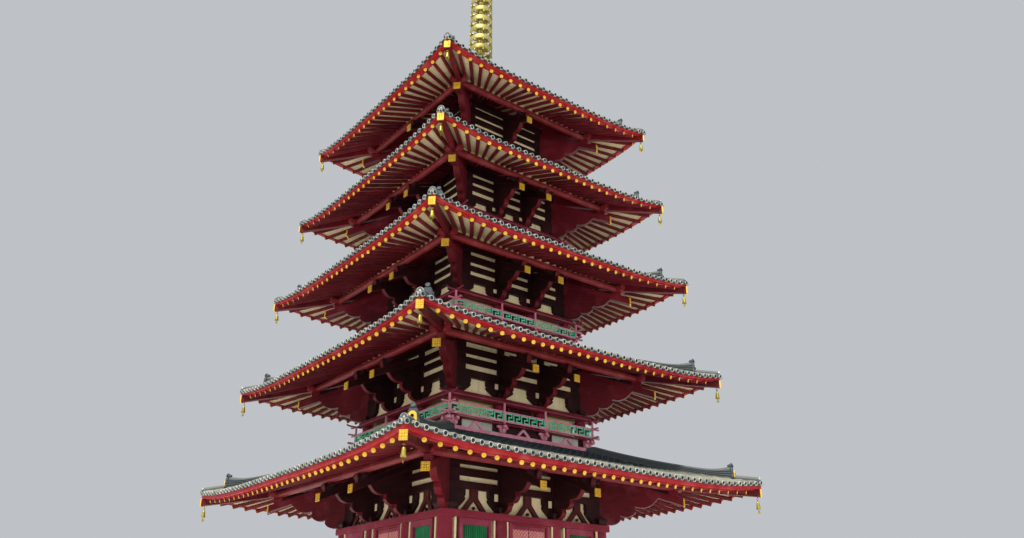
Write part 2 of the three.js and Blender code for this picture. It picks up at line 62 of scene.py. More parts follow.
class Wire:
    # one socket of a finish, so that shader maths reads as Python
    def __init__(self, tree, socket=None):
        self.tree, self.socket = tree, socket

    def node(self, kind, settings=None, values=None, out=0):
        made = self.tree.nodes.new(kind)
        for name, value in (settings or {}).items():
            setattr(made, name, value)
        for name, value in (values or {}).items():
            if isinstance(value, Wire):
                self.tree.links.new(value.socket, made.inputs[name])
            else:
                made.inputs[name].default_value = value
        return Wire(self.tree, made.outputs[out] if made.outputs else None)

    def work(self, operation, other, flip=False):
        pair = (other, self) if flip else (self, other)
        kinds = {w.socket.type for w in pair if isinstance(w, Wire)}
        if "RGBA" in kinds:
            a, b = map(asColour, pair)
            settings = {"data_type": "RGBA", "blend_type": operation}
            return self.node("ShaderNodeMix", settings, {0: 1.0, 6: a, 7: b}, 2)
        kind = "ShaderNodeVectorMath" if "VECTOR" in kinds else "ShaderNodeMath"
        return self.node(kind, {"operation": operation}, {0: pair[0], 1: pair[1]})

    def __add__(self, other):
        return self.work("ADD", other)

    def __radd__(self, other):
        return self.work("ADD", other, True)

    def __sub__(self, other):
        return self.work("SUBTRACT", other)

    def __rsub__(self, other):
        return self.work("SUBTRACT", other, True)

    def __mul__(self, other):
        return self.work("MULTIPLY", other)

    def over(self, low, high):  # 0 up to low, 1 from high on
        return self.node("ShaderNodeMapRange", None, {0: self, 1: low, 2: high})

    def pick(self, off, on):  # off where this is 0, on where it is 1
        if any(isinstance(v, tuple) or (isinstance(v, Wire) and v.socket.type == "RGBA")
               for v in (off, on)):
            return self.node("ShaderNodeMix", {"data_type": "RGBA"}, {0: self, 6: off, 7: on}, 2)
        return self.node("ShaderNodeMix", {"data_type": "FLOAT"}, {0: self, 2: off, 3: on})

    def noise(self, scale, detail=3.0, rough=0.55):
        values = {"Vector": self, "Scale": scale, "Detail": detail, "Roughness": rough}
        return self.node("ShaderNodeTexNoise", None, values)

    def cells(self, scale, feature="F1", out=0):
        return self.node("ShaderNodeTexVoronoi", {"feature": feature}, {"Vector": self, "Scale": scale},
                         out)


def begin(name):
    # an empty finish and what it can vary with: place in the grain, tone of the part, spot on the tower
    made = bpy.data.materials.new(name)
    made.use_nodes = True
    made.node_tree.nodes.clear()
    wire = Wire(made.node_tree)
    place = wire.node("ShaderNodeAttribute", {"attribute_name": "place"}, out="Vector")
    tone = wire.node("ShaderNodeAttribute", {"attribute_name": "tone"}, out="Fac")
    spot = wire.node("ShaderNodeTexCoord", out="Object")
    normal = wire.node("ShaderNodeNewGeometry", out="Normal")
    facing = wire.node("ShaderNodeSeparateXYZ", None, {0: normal}, "Z")
    return made, wire, place, tone, spot, facing


def finishOff(wire, colour, rough, relief=None, depth=0.004, **fixed):
    values = {"Base Color": colour, "Roughness": rough, **fixed}
    if relief is not None:
        values["Normal"] = wire.node("ShaderNodeBump", None, {"Height": relief, "Distance": depth})
    shader = wire.node("ShaderNodeBsdfPrincipled", None, values)
    wire.node("ShaderNodeOutputMaterial", None, {"Surface": shader})


# finishes

paintGloss = 0.16  # old paint shines less than new


def paintedTimber(name, look):
    look = tinted(look)
    made, wire, place, tone, spot, facing = begin(name)
    grain = (place * (0.7, 15.0, 15.0)).noise(1.6, 5.0, 0.6)
    cloud = spot.noise(0.8, 4.0)
    mottle = place.noise(5.0, 4.0)
    colour = (cloud.over(0.3, 0.7) * 0.5 + tone * 0.5).pick(look["deep"], look["fresh"])
    # faces turned up grow paler: partly real sun bleaching, partly a painted highlight where light falls on
    # them; random patches and the grain fade too
    fadeAndSheen = facing.over(0.2, 0.9) * look["bleachAndSheen"] + spot.noise(1.7, 5.0).over(0.5, 0.78) * 0.4
    fadeAndSheen = fadeAndSheen + grain.over(0.5, 0.8) * 0.18
    colour = fadeAndSheen.over(0.0, 1.0).pick(colour, look["fadedAndSheen"])
    chips = (place * (0.5, 1.0, 1.0)).noise(11.0, 7.0, 0.62).over(0.655, 0.69) * look["chips"]
    crack = (place * (0.25, 30.0, 30.0)).noise(1.1, 3.0).over(0.69, 0.73)
    colour = chips.pick(colour, look["bare"])
    colour = (crack * 0.6).pick(colour, look["crack"])
    rough = look["rough"] + mottle * 0.16 + fadeAndSheen * 0.12 + chips * 0.25
    relief = grain * 0.35 + mottle * 0.2 - chips * 0.5 - crack * 0.9
    finishOff(wire, colour, rough, relief, 0.006, **{"Specular IOR Level": paintGloss})
    return made


redPaint = paintedTimber("red_paint", {
    "deep": "86141e", "fresh": "b8282e", "fadedAndSheen": "d0706c", "bare": "6a3a2e",
    "crack": "3a0c0c", "rough": 0.34, "bleachAndSheen": 0.4, "chips": 0.6,
})
# a near-black copy of the red paint: painted shade for the beams, arms and blocks deep under the eaves
shadedPaint = paintedTimber("shaded_red_paint", {
    "deep": "180a0c", "fresh": "301014", "fadedAndSheen": "4c242a", "bare": "38201a",
    "crack": "140606", "rough": 0.4, "bleachAndSheen": 0.6, "chips": 0.6,
})
# a darker copy of the red paint: painted shade for the rods, the corner arms' sides and the upper head
# beams under the eaves
rafterPaint = paintedTimber("rafter_paint", {
    "deep": "440e16", "fresh": "761a26", "fadedAndSheen": "964250", "bare": "4c2a22",
    "crack": "1c0808", "rough": 0.36, "bleachAndSheen": 0.6, "chips": 0.5,
})
# a darker copy of the red paint: painted shade for the projecting arms, hip rafters and door posts under
# the eaves
armPaint = paintedTimber("arm_paint", {
    "deep": "3c0c14", "fresh": "741822", "fadedAndSheen": "8c3844", "bare": "4c2620",
    "crack": "240808", "rough": 0.38, "bleachAndSheen": 0.4, "chips": 0.5,
})
# a darker copy of the red paint: painted shade for the round purlins under the eaves
logPaint = paintedTimber("log_paint", {
    "deep": "561018", "fresh": "8c2a30", "fadedAndSheen": "b05c5a", "bare": "5c2c24",
    "crack": "300a0c", "rough": 0.3, "bleachAndSheen": 0.5, "chips": 0.4,
})
bracePaint = paintedTimber("brown_red_paint", {
    "deep": "341014", "fresh": "541e22", "fadedAndSheen": "7c4442", "bare": "4c3028",
    "crack": "281010", "rough": 0.45, "bleachAndSheen": 0.4, "chips": 0.6,
})
columnPaint = paintedTimber("crimson_paint", {
    "deep": "6c1828", "fresh": "8e2a3e", "fadedAndSheen": "ac5868", "bare": "6a3c34",
    "crack": "3a1014", "rough": 0.38, "bleachAndSheen": 0.6, "chips": 0.7,
})
# pale rose paint of the balcony work, made lighter still: partly its own colour, partly painted light for
# the railings in the eaves' shade
rosePaint = paintedTimber("rose_paint", {
    "deep": "c46a84", "fresh": "e29cae", "fadedAndSheen": "f4ccd2", "bare": "7a564c",
    "crack": "4a2024", "rough": 0.45, "bleachAndSheen": 0.7, "chips": 0.7,
})
# near-black planks: painted shade of the dark door bays of the upper storeys
upperDoorPaint = paintedTimber("upper_door_shade", {
    "deep": "140c10", "fresh": "2c181c", "fadedAndSheen": "44282c", "bare": "2c201c",
    "crack": "0c0606", "rough": 0.5, "bleachAndSheen": 0.3, "chips": 0.5,
})
framePaint = paintedTimber("frame_paint", {
    "deep": "7c2a40", "fresh": "9c4056", "fadedAndSheen": "b86c7c", "bare": "6c4038",
    "crack": "3c181c", "rough": 0.42, "bleachAndSheen": 0.6, "chips": 0.6,
})
doorPaint = paintedTimber("door_paint", {
    "deep": "a85054", "fresh": "c46e70", "fadedAndSheen": "d89a94", "bare": "7a5548",
    "crack": "4c1c1c", "rough": 0.42, "bleachAndSheen": 0.5, "chips": 0.7,
})
lacePaint = paintedTimber("pale_rose_paint", {
    "deep": "cc8680", "fresh": "dc9e98", "fadedAndSheen": "e8b8b0", "bare": "8c6c60",
    "crack": "5c3430", "rough": 0.5, "bleachAndSheen": 0.5, "chips": 0.6,
})
greenPaint = paintedTimber("green_paint", {
    "deep": "1c6a42", "fresh": "2f9058", "fadedAndSheen": "6cae88", "bare": "4a4236",
    "crack": "0c2416", "rough": 0.4, "bleachAndSheen": 0.4, "chips": 0.6,
})
# a deep green sheet behind the window bars: painted shade of the room behind them
shadePaint = paintedTimber("window_shade_green", {
    "deep": "12442c", "fresh": "1c603e", "fadedAndSheen": "34705a", "bare": "2c2a22",
    "crack": "06140c", "rough": 0.5, "bleachAndSheen": 0.3, "chips": 0.4,
})
# mint paint of the key pattern, made lighter: partly its own colour, partly painted light for the fret in
# the eaves' shade
fretPaint = paintedTimber("turquoise_paint", {
    "deep": "3cbc92", "fresh": "78e4ba", "fadedAndSheen": "cef8e6", "bare": "5c8a74",
    "crack": "1a5a48", "rough": 0.42, "bleachAndSheen": 0.4, "chips": 0.5,
})


def limePlaster(name, look):
    look = tinted(look)
    made, wire, _, _, spot, _ = begin(name)
    cloud = spot.noise(1.1, 5.0)
    streak = (spot * (4.0, 4.0, 0.45)).noise(1.4, 4.0)
    fine = spot.noise(38.0, 4.0)
    crack = (spot + spot.noise(2.5, 3.0) * 0.35).cells(2.1, "DISTANCE_TO_EDGE").over(0.012, 0.0)
    colour = cloud.over(0.3, 0.75).pick(look["clean"], look["aged"])
    colour = (streak.over(0.52, 0.8) * 0.6).pick(colour, look["stain"])
    colour = (fine.over(0.35, 0.7) * 0.12).pick(colour, look["stain"])
    colour = (crack * 0.35).pick(colour, look["crack"])
    relief = fine * 0.4 + cloud * 0.4 - crack * 0.5
    finishOff(wire, colour, 0.82 + fine * 0.12, relief, 0.005)
    return made


plaster = limePlaster("lime_plaster", {
    "clean": "f0e2bc", "aged": "e0cd9c", "stain": "b39f74", "crack": "8c7c58",
})
# a grey copy of the plaster: painted shade for the plaster behind the balcony struts
shadedPlaster = limePlaster("shaded_plaster", {
    "clean": "c4c8bc", "aged": "a8aca0", "stain": "868a80", "crack": "6c6e66",
})


def firedTile(name, look):
    look = tinted(look)
    made, wire, place, tone, spot, facing = begin(name)
    soot = spot.noise(0.7, 5.0)
    mottle = place.noise(7.0, 5.0, 0.6)
    speck = place.noise(60.0, 3.0)
    colour = (tone * 0.65 + mottle * 0.35).pick(look["dark"], look["light"])
    # faces turned up, and courses outside the roof above, grow pale: partly weathering, partly painted
    # sunlight beyond that roof's shadow
    weatherAndSun = facing.over(-0.2, 0.55) * tone.over(0.25, 1.25) * (0.6 + soot * 0.7)
    colour = weatherAndSun.over(0.0, 1.0).pick(colour, look["weatheredAndSunlit"])
    lichen = spot.noise(5.5, 6.0, 0.66).over(0.6, 0.68) * facing.over(0.0, 0.5)
    colour = (lichen * 0.55).pick(colour, look["lichen"])
    colour = (speck.over(0.5, 0.75) * 0.25).pick(colour, look["speck"])
    rough = 0.5 + mottle * 0.28 + lichen * 0.2
    finishOff(wire, colour, rough, mottle * 0.4 + speck * 0.25 + lichen * 0.3, 0.006)
    return made


roofTile = firedTile("roof_tile", {
    "dark": "253138", "light": "47565d", "weatheredAndSunlit": "bcb59a", "lichen": "b4b494", "speck": "1c2122",
})
# near-black clay colour: painted shade in the hollows of the eave discs and under the hollow tiles' lips
tileShade = firedTile("tile_painted_shade", {
    "dark": "0f1314", "light": "1d2324", "weatheredAndSunlit": "2c3230", "lichen": "3a4036", "speck": "0a0c0c",
})
# pale grey rims: a painted highlight where light catches the eave discs' edges
paleRim = firedTile("tile_rim_highlight", {
    "dark": "7c8888", "light": "c8d0cc", "weatheredAndSunlit": "d8d8ca", "lichen": "b2b49a", "speck": "4a5456",
})


def gildedMetal(name, look):
    look = tinted(look)
    made, wire, place, tone, spot, _ = begin(name)
    mottle = place.noise(9.0, 5.0, 0.6)
    dull = spot.noise(3.3, 5.0).over(0.48, 0.75)
    colour = (tone * 0.4 + mottle * 0.6).pick(look["deep"], look["bright"])
    colour = (dull * look["tarnish"]).pick(colour, look["dull"])
    scratch = (place * (2.0, 40.0, 40.0)).noise(2.0, 3.0)
    rough = look["rough"] + mottle * 0.15 + dull * 0.25
    finishOff(wire, colour, rough, mottle * 0.5 + scratch * 0.15, 0.002, Metallic=look["metal"])
    return made


gilt = gildedMetal("gilt", {
    "deep": "e0aa28", "bright": "fcd850", "dull": "b88a2c", "tarnish": 0.4, "rough": 0.38, "metal": 0.4,
})
finialGold = gildedMetal("finial_gold", {
    "deep": "887a38", "bright": "d2c67a", "dull": "5c5828", "tarnish": 0.6, "rough": 0.46, "metal": 0.7,
})
tarnish = gildedMetal("tarnished_gilt", {
    "deep": "7c4c08", "bright": "a8700c", "dull": "5c3808", "tarnish": 0.5, "rough": 0.5, "metal": 0.5,
})
bellBronze = gildedMetal("bell_bronze", {
    "deep": "8c7c2c", "bright": "c8b850", "dull": "5a5a30", "tarnish": 0.5, "rough": 0.34, "metal": 0.7,
})
darkIron = gildedMetal("dark_iron", {
    "deep": "241a18", "bright": "3d2c28", "dull": "5a3a2c", "tarnish": 0.4, "rough": 0.5, "metal": 0.7,
})


def dressedStone(name, look):
    look = tinted(look)
    made, wire, _, tone, spot, facing = begin(name)
    grit = spot.noise(85.0, 3.0)
    cloud = spot.noise(1.3, 5.0)
    crystal = spot.cells(120.0, "F1", "Color")
    colour = (tone * 0.55 + cloud * 0.45).pick(look["grey"], look["warm"])
    colour = (grit.over(0.35, 0.7) * 0.4).pick(colour, look["dark"])
    colour = colour * (0.86 + crystal * 0.24)
    moss = spot.noise(2.4, 6.0).over(0.58, 0.72) * (1 - facing.over(0.3, 0.9) * 0.6)
    colour = (moss * 0.4).pick(colour, look["moss"])
    finishOff(wire, colour, 0.72 + grit * 0.2, grit * 0.5 + cloud * 0.5, 0.006)
    return made


jointMortar = dressedStone("joint_mortar", {
    "grey": "6d6a64", "warm": "7f796c", "dark": "45423e", "moss": "55593f",
})
granite = dressedStone("granite", {
    "grey": "a9a69d", "warm": "c3bbaa", "dark": "6e6b66", "moss": "6f7458",
})


# shapes

sharpFrom = 38  # degrees between two faces from which their edge stays sharp
leastRadius = 0.0008


def curve(p, q, bulge, steps=4):  # an arc from p up to q, bulging to the right of its way
    p, q = np.asarray(p, float), np.asarray(q, float)
    t = np.arange(steps)[:, None] / steps
    side = np.array([q[1] - p[1], p[0] - q[0]])
    return list(p + (q - p) * t + side * bulge * 4 * t * (1 - t))


def mirrored(side):  # a whole outline from its right half
    return side + [(-x, z) for x, z in reversed(side)]


def shrink(outline, cut):
    p = np.asarray(outline, float)
    ahead = np.roll(p, -1, 0) - p
    ahead /= np.linalg.norm(ahead, axis=1)[:, None]
    inward = np.stack([-ahead[:, 1], ahead[:, 0]], 1)
    before = np.roll(inward, 1, 0)
    share = 1 + (inward * before).sum(1)
    return p + (inward + before) * (cut / np.maximum(share, 0.45))[:, None]


def barSection(wide, high, cut):
    w, h = wide / 2, high / 2
    return [(w, cut - h), (w, h - cut), (w - cut, h), (cut - w, h), (-w, h - cut), (-w, cut - h),
            (cut - w, -h), (w - cut, -h)]


class Heap:
    # points and faces of one piece; every part in it has its own grain direction and tone
    def __init__(self):
        self.parts = []

    def add(self, points, faces, finish, along=east, tone=None, cross=0.0):
        points = np.asarray(points, float).reshape(-1, 3)
        u = np.asarray(along, float) / np.linalg.norm(along)
        side = np.cross(u, up if abs(u[2]) < 0.9 else north)
        side /= np.linalg.norm(side)
        place = points @ np.stack([u, side, np.cross(u, side)], 1) + dice.uniform(0, 60, 3)
        tone = np.full(len(points), dice.random() if tone is None else tone)
        shift = np.full(len(points), cross)
        self.parts.append((points, place, tone, shift, [np.asarray(f, int) for f in faces], finish))

    def sweep(self, rings, finish, along=east, caps=True, tone=None, cross=0.0):
        # closed rings joined one after another
        rings = np.asarray(rings, float)
        m, n = rings.shape[:2]
        index = np.arange(m * n).reshape(m, n)
        after = np.roll(index, -1, 1)
        faces = [np.stack([index[:-1], after[:-1], after[1:], index[1:]], -1).reshape(-1, 4)]
        if caps:
            faces += [index[:1, ::-1], index[-1:]]
        self.add(rings, faces, finish, along, tone, cross)

    def beam(self, a, b, wide, high, finish, cut=0.012, above=up, cross=0.0, tone=None):
        a, b = np.asarray(a, float), np.asarray(b, float)
        u = (b - a) / np.linalg.norm(b - a)
        v = np.cross(above, u)
        v /= np.linalg.norm(v)
        w = np.cross(u, v)
        section = np.array(barSection(wide, high, cut))
        inner = np.array(barSection(wide - 2 * cut, high - 2 * cut, cut * 0.6))
        ring = section[:, :1] * v + section[:, 1:] * w
        small = inner[:, :1] * v + inner[:, 1:] * w
        rings = [a + small, a + u * cut + ring, b - u * cut + ring, b + small]
        self.sweep(rings, finish, u, cross=cross, tone=tone)

    # upright; its width runs along the wall
    def post(self, x, y, low, top, wide, deep, finish, cut=0.012, **more):
        self.beam((x, y, low), (x, y, top), wide, deep, finish, cut, above=east, **more)

    # level, along the wall; its width runs outwards
    def rail(self, x, y0, y1, z, wide, high, finish, cut=0.012, **more):
        self.beam((x, y0, z), (x, y1, z), wide, high, finish, cut, **more)

    def rod(self, path, radius, finish, sides=10):
        path = np.asarray(path, float)
        u = path[-1] - path[0]
        u /= np.linalg.norm(u)
        v = np.cross(up if abs(u[2]) < 0.9 else north, u)
        v /= np.linalg.norm(v)
        w = np.cross(u, v)
        turn = np.arange(sides) * 2 * math.pi / sides
        radii = np.broadcast_to(radius, len(path))
        ring = np.cos(turn)[:, None] * v + np.sin(turn)[:, None] * w
        self.sweep(path[:, None] + radii[:, None, None] * ring, finish, u)

    def turned(self, profile, at, finish, axis=up, sides=12, square=False, tone=None):
        u = np.asarray(axis, float) / np.linalg.norm(axis)
        v = np.cross(up if abs(u[2]) < 0.9 else north, u)
        v /= np.linalg.norm(v)
        w = np.cross(u, v)
        sides = 4 if square else sides
        turn = (np.arange(sides) + (0.5 if square else 0)) * 2 * math.pi / sides
        ring = (np.cos(turn)[:, None] * v + np.sin(turn)[:, None] * w) * (root2 if square else 1)
        rings = [np.asarray(at) + u * h + max(r, leastRadius) * ring for r, h in profile]
        self.sweep(rings, finish, u, tone=tone)

    def plate(self, outline, at, u, v, thick, finish, cut=0.012, grain=None, tone=None, sides=None):
        u, v = np.asarray(u, float), np.asarray(v, float)
        w = np.cross(u, v)
        full, small = np.asarray(outline, float), shrink(outline, cut)
        half = thick / 2
        rings = [np.asarray(at) + p[:, :1] * u + p[:, 1:] * v + w * h
                 for p, h in ((small, -half), (full, cut - half), (full, half - cut), (small, half))]
        self.sweep(rings, finish, u if grain is None else grain, caps=sides is None, tone=tone)
        if sides:
            n = len(small)
            self.add([rings[0], rings[-1]], [np.arange(n)[None, ::-1], np.arange(n, 2 * n)[None]], sides,
                     u if grain is None else grain)

    # a band along one side of a square plan, mitred at the corners; the section has (d, z or z(s)) points
    def band(self, section, finish, spots=(-1.0, 1.0)):
        rings = [[(d, s * d, z(s) if callable(z) else z) for d, z in section] for s in reversed(spots)]
        self.sweep(rings, finish, north, caps=False)

    def make(self, name, turns=4, body="tower", stands=(), slot=None):
        finishes = list(dict.fromkeys(part[5] for part in self.parts))
        points, place, tone, shift = (np.concatenate([part[i] for part in self.parts]) for i in range(4))
        loops, sizes, slots, count = [], [], [], 0
        for part in self.parts:
            for group in part[4]:
                loops.append(group.ravel() + count)
                sizes.append(np.full(len(group), group.shape[1]))
                slots.append(np.full(len(group), finishes.index(part[5])))
            count += len(part[0])
        loops, sizes, slots = (np.concatenate(group) for group in (loops, sizes, slots))
        x, y, z = points.T
        quarters = [(x, y, z), (-y, x, z - shift), (-x, -y, z), (y, -x, z - shift)][:turns]
        points = np.concatenate([np.stack(quarter, 1) for quarter in quarters])
        place = np.concatenate([place + 7.7 * turn for turn in range(turns)])
        loops = np.concatenate([loops + count * turn for turn in range(turns)])
        mesh = bpy.data.meshes.new(name)
        mesh.vertices.add(len(points))
        mesh.vertices.foreach_set("co", points.astype(np.float32).ravel())
        mesh.loops.add(len(loops))
        mesh.loops.foreach_set("vertex_index", loops.astype(np.int32))
        sizes, slots = np.tile(sizes, turns), np.tile(slots, turns)
        starts = np.concatenate([[0], np.cumsum(sizes)[:-1]])
        mesh.polygons.add(len(sizes))
        mesh.polygons.foreach_set("loop_start", starts.astype(np.int32))
        mesh.polygons.foreach_set("material_index", slots.astype(np.int32))
        mesh.polygons.foreach_set("use_smooth", np.ones(len(sizes), bool))
        mesh.update(calc_edges=True)
        for label, kind, data in (("place", "FLOAT_VECTOR", place),
                                  ("tone", "FLOAT", np.tile(tone, turns))):
            store = mesh.attributes.new(label, kind, "POINT")
            store.data.foreach_set("vector" if data.ndim > 1 else "value", data.astype(np.float32).ravel())
        mesh.set_sharp_from_angle(angle=math.radians(sharpFrom))
        for finish in finishes:
            mesh.materials.append(finish)
        made = bpy.data.objects.new(name, mesh)
        bpy.context.scene.collection.objects.link(made)
        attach(made, body)
        if stands:
            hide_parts(*stands)
        print(name, int((sizes - 2).sum()), "triangles")


# the tower's storeys, in metres, as in the frame

storeys = [
    {"wall": 3.65, "inner": 1.28, "radius": 0.295, "base": 1.25, "head": 5.86, "plate": 6.62,
     "purlin": 5.76, "log": (7.28, 0.14), "tail": (6.141, 6.60), "corner": (6.04, 6.69), "end": 8.05,
     "endZ": 6.70, "slope": 0.322, "edge": 8.276, "edgeZ": 7.14, "rows": 50, "rafters": (8, 0.443, 0.22),
     "fans": (3.77, 7.38, 8), "arms": (0.24, 0.58, 0.46, 0.77), "post": 0.51,
     "strips": [(6.88, 7.06), (7.34, 7.47)]},
    {"wall": 3.20, "inner": 1.03, "radius": 0.240, "base": 8.77, "head": 10.25, "plate": 10.89,
     "purlin": 4.92, "log": (11.80, 0.14), "tail": (5.484, 10.99), "corner": (5.44, 11.08), "end": 7.24,
     "endZ": 11.15, "slope": 0.348, "edge": 7.464, "edgeZ": 11.52, "rows": 45, "rafters": (8, 0.431, 0.0),
     "fans": (3.48, 6.58, 7), "arms": (0.24, 0.65, 0.46, 0.76), "post": 0.51,
     "strips": [(11.19, 11.40), (11.66, 11.81), (12.07, 12.28)]},
    {"wall": 2.80, "inner": 0.88, "radius": 0.215, "base": 13.12, "head": 14.55, "plate": 15.04,
     "purlin": 4.46, "log": (15.91, 0.14), "tail": (4.84, 15.29), "corner": (4.88, 15.29), "end": 6.525,
     "endZ": 15.42, "slope": 0.314, "edge": 6.728, "edgeZ": 15.80, "rows": 41, "rafters": (7, 0.44, 0.20),
     "fans": (3.31, 5.95, 6), "arms": (0.22, 0.57, 0.40, 0.67), "post": 0.50,
     "strips": [(15.34, 15.52), (15.76, 15.92), (16.21, 16.39)]},
    {"wall": 2.45, "inner": 0.75, "radius": 0.195, "base": 17.25, "head": 18.60, "plate": 19.04,
     "purlin": 4.08, "log": (19.97, 0.145), "tail": (4.328, 19.36), "corner": (4.40, 19.36), "end": 5.98,
     "endZ": 19.43, "slope": 0.367, "edge": 6.162, "edgeZ": 19.77, "rows": 37, "rafters": (7, 0.442, 0.0),
     "fans": (3.20, 5.38, 5), "arms": (0.20, 0.50, 0.35, 0.59), "post": 0.39,
     "strips": [(19.31, 19.51), (19.75, 19.92), (20.17, 20.33)]},
    {"wall": 2.10, "inner": 0.0, "radius": 0.180, "base": 21.15, "head": 22.42, "plate": 22.83,
     "purlin": 3.62, "log": (23.855, 0.145), "tail": (3.943, 23.26), "corner": (4.06, 23.23), "end": 5.54,
     "endZ": 23.33, "slope": 0.353, "edge": 5.766, "edgeZ": 23.69, "rows": 35, "rafters": (5, 0.45, 0.0),
     "fans": (2.32, 5.0, 6), "arms": (0.22, 0.52, 0.36, 0.60), "post": 0.34,
     "strips": [(23.10, 23.27), (23.55, 23.70), (24.05, 24.16)]},
]
finial = {"bottom": 26.75, "half": 0.76, "basin": 0.95, "firstRing": 29.50, "pitch": 0.62, "count": 9,
          "radius": 0.60, "topRadius": 0.55, "mast": 0.12, "flame": 2.42, "top": 39.20}
balcony = {"base": 0.27, "beamTop": 0.145, "neck": 0.20, "neckTop": 0.36, "deck": 0.42, "deckHigh": 0.12,
           "beamDeep": 0.30, "neckDeep": 0.25, "board": 0.24}
rafterUp = 0.06  # the rods stand this far above the centre line of the frame's slabs


bend = {"lift": 0.35, "sag": 0.11, "topSag": 0.33}  # how far a roof's corners rise and its slopes hollow


class Form:
    # heights of one roof over the half-width d and the place s along its side
    def __init__(self, storey, above):
        self.storey = storey
        self.seat = above["wall"] + balcony["base"] if above else finial["half"]
        self.seatZ = above["base"] if above else finial["bottom"]
        self.flat = self.seat + 0.08
        self.flatIn = self.seat - (0.35 if above else 0.20)
        self.sag = bend["sag" if above else "topSag"]
        self.liftFrom = max(storey["wall"], self.flat)
        self.fascia = storey["edge"] - 0.096

    def lift(self, d, s):
        out = np.maximum(0, (d - self.liftFrom) / (self.storey["edge"] - self.liftFrom))
        return bend["lift"] * np.abs(s) ** 4 * out ** 1.5

    def topZ(self, d, s):
        edge, edgeZ = self.storey["edge"], self.storey["edgeZ"]
        u = np.minimum(1, (edge - d) / (edge - self.flat))
        return edgeZ + (self.seatZ - edgeZ) * u - self.sag * 4 * u * (1 - u) + self.lift(d, s)

    def rafterZ(self, d, s):
        return self.storey["endZ"] + self.storey["slope"] * (self.storey["end"] - d) + self.lift(d, s)


def columnSpots(storey):  # the inner columns of one side
    return (-storey["inner"], storey["inner"]) if storey["inner"] else (0.0,)


forms = [Form(storey, above) for storey, above in zip(storeys, storeys[1:] + [None])]
evenSpots = np.linspace(-1, 1, 25)
# closer together at the corners
eaveSpots = tuple(np.sin(evenSpots * math.pi / 2) * 0.25 + evenSpots * 0.75)


# roof tiles: rows of round cover tiles over hollow ones, with discs along the eave

tiles = {"step": 0.34, "cover": 0.086, "bed": 0.078, "lap": 0.016, "panHalf": 0.105, "panSag": 0.035,
         "back": 0.03, "overlap": 0.02, "lipHalf": 0.088, "discRadius": 0.088, "discThick": 0.045,
         "discIn": 0.05, "clayTop": 0.125, "clayLow": 0.152, "sunlitOver": 2.6, "sunlitBlend": 1.9}


def tileCourses(heap, form, y, shape, thin):
    # one row's courses from the eave inwards, each lapping the one below it
    edge = form.storey["edge"]
    inner = max(form.flatIn, abs(y) + tiles["back"])
    count = max(1, math.ceil((edge - inner) / tiles["step"]))
    start = edge - tiles["back"] - np.arange(count) * tiles["step"]
    stop = np.maximum(start - tiles["step"] - tiles["overlap"], inner)
    rings = []
    for d, lap, small in ((start, tiles["lap"], thin), (start, tiles["lap"], 0.0), (stop, 0.0, 0.004)):
        z = form.topZ(d, np.clip(y / d, -1, 1)) - tiles["bed"] + lap
        across, rise = shape(small)
        points = np.stack(np.broadcast_arrays(d[:, None], y + across[None], z[:, None] + rise[None]), -1)
        rings.append(points)
    rings = np.stack(rings, 1)  # course, ring, point, xyz
    k, m, n = rings.shape[:3]
    index = np.arange(k * m * n).reshape(k, m, n)
    quads = np.stack([index[:, :-1, :-1], index[:, :-1, 1:], index[:, 1:, 1:], index[:, 1:, :-1]],
                     -1).reshape(-1, 4)
    # how far a course stands out from under the roof above: there it is painted pale, as the sunlit part
    # outside that roof's shadow
    outside = np.clip((start - edge + tiles["sunlitOver"]) / tiles["sunlitBlend"], 0, 1)
    tone = np.repeat(dice.random(k) * 0.3 + outside * 0.7, m * n)
    heap.add(rings, [quads], roofTile, east, tone)


def coverShape(small):  # across and up, of a round tile smaller by this much
    turn = np.linspace(0, math.pi, 5)
    return -np.cos(turn) * (tiles["cover"] - small), np.sin(turn) * (tiles["cover"] - small)


def panShape(small):  # the same of a hollow tile
    across = np.linspace(-1, 1, 4)
    return across * tiles["panHalf"], 0.006 - small - tiles["panSag"] * (1 - across ** 2)


def eaveDisc(heap, at, axis):
    r, t = tiles["discRadius"], tiles["discThick"]
    # the disc's rim in pale grey: painted highlight
    heap.turned([(r, -0.02), (r, t - 0.008), (r * 0.95, t), (r * 0.84, t), (r * 0.80, t - 0.026)], at,
                paleRim, axis, 10)
    # the hollow of the disc in near-black: painted shade
    heap.turned([(r * 0.82, t - 0.024), (r * 0.36, t - 0.020), (0.0, t - 0.004)], at, tileShade, axis, 10)


def panLip(heap, form, y):
    edge = form.storey["edge"]
    z = form.topZ(edge, np.clip(y / edge, -1, 1)) - tiles["bed"] + tiles["lap"]
    t = np.linspace(-1, 1, 5)
    upper = np.stack([t * tiles["lipHalf"], 0.004 - tiles["panSag"] * (1 - t ** 2)], 1)
    lower = np.stack([t[::-1] * 0.082, -0.035 - (tiles["panSag"] + 0.012) * (1 - t[::-1] ** 2)], 1)
    outline = np.concatenate([upper, lower])[::-1]
    rim = np.concatenate([lower[::-1] + (0, 0.016), lower])[::-1]
    # the lip's lower rim in near-black: painted shade under the lip
    for shape, back, front, finish in ((outline, 0.050, 0.020, roofTile), (rim, 0.032, 0.014, tileShade)):
        heap.sweep([[(edge - inset, y + a, z + b) for a, b in shape] for inset in (back, front)], finish,
                   north)


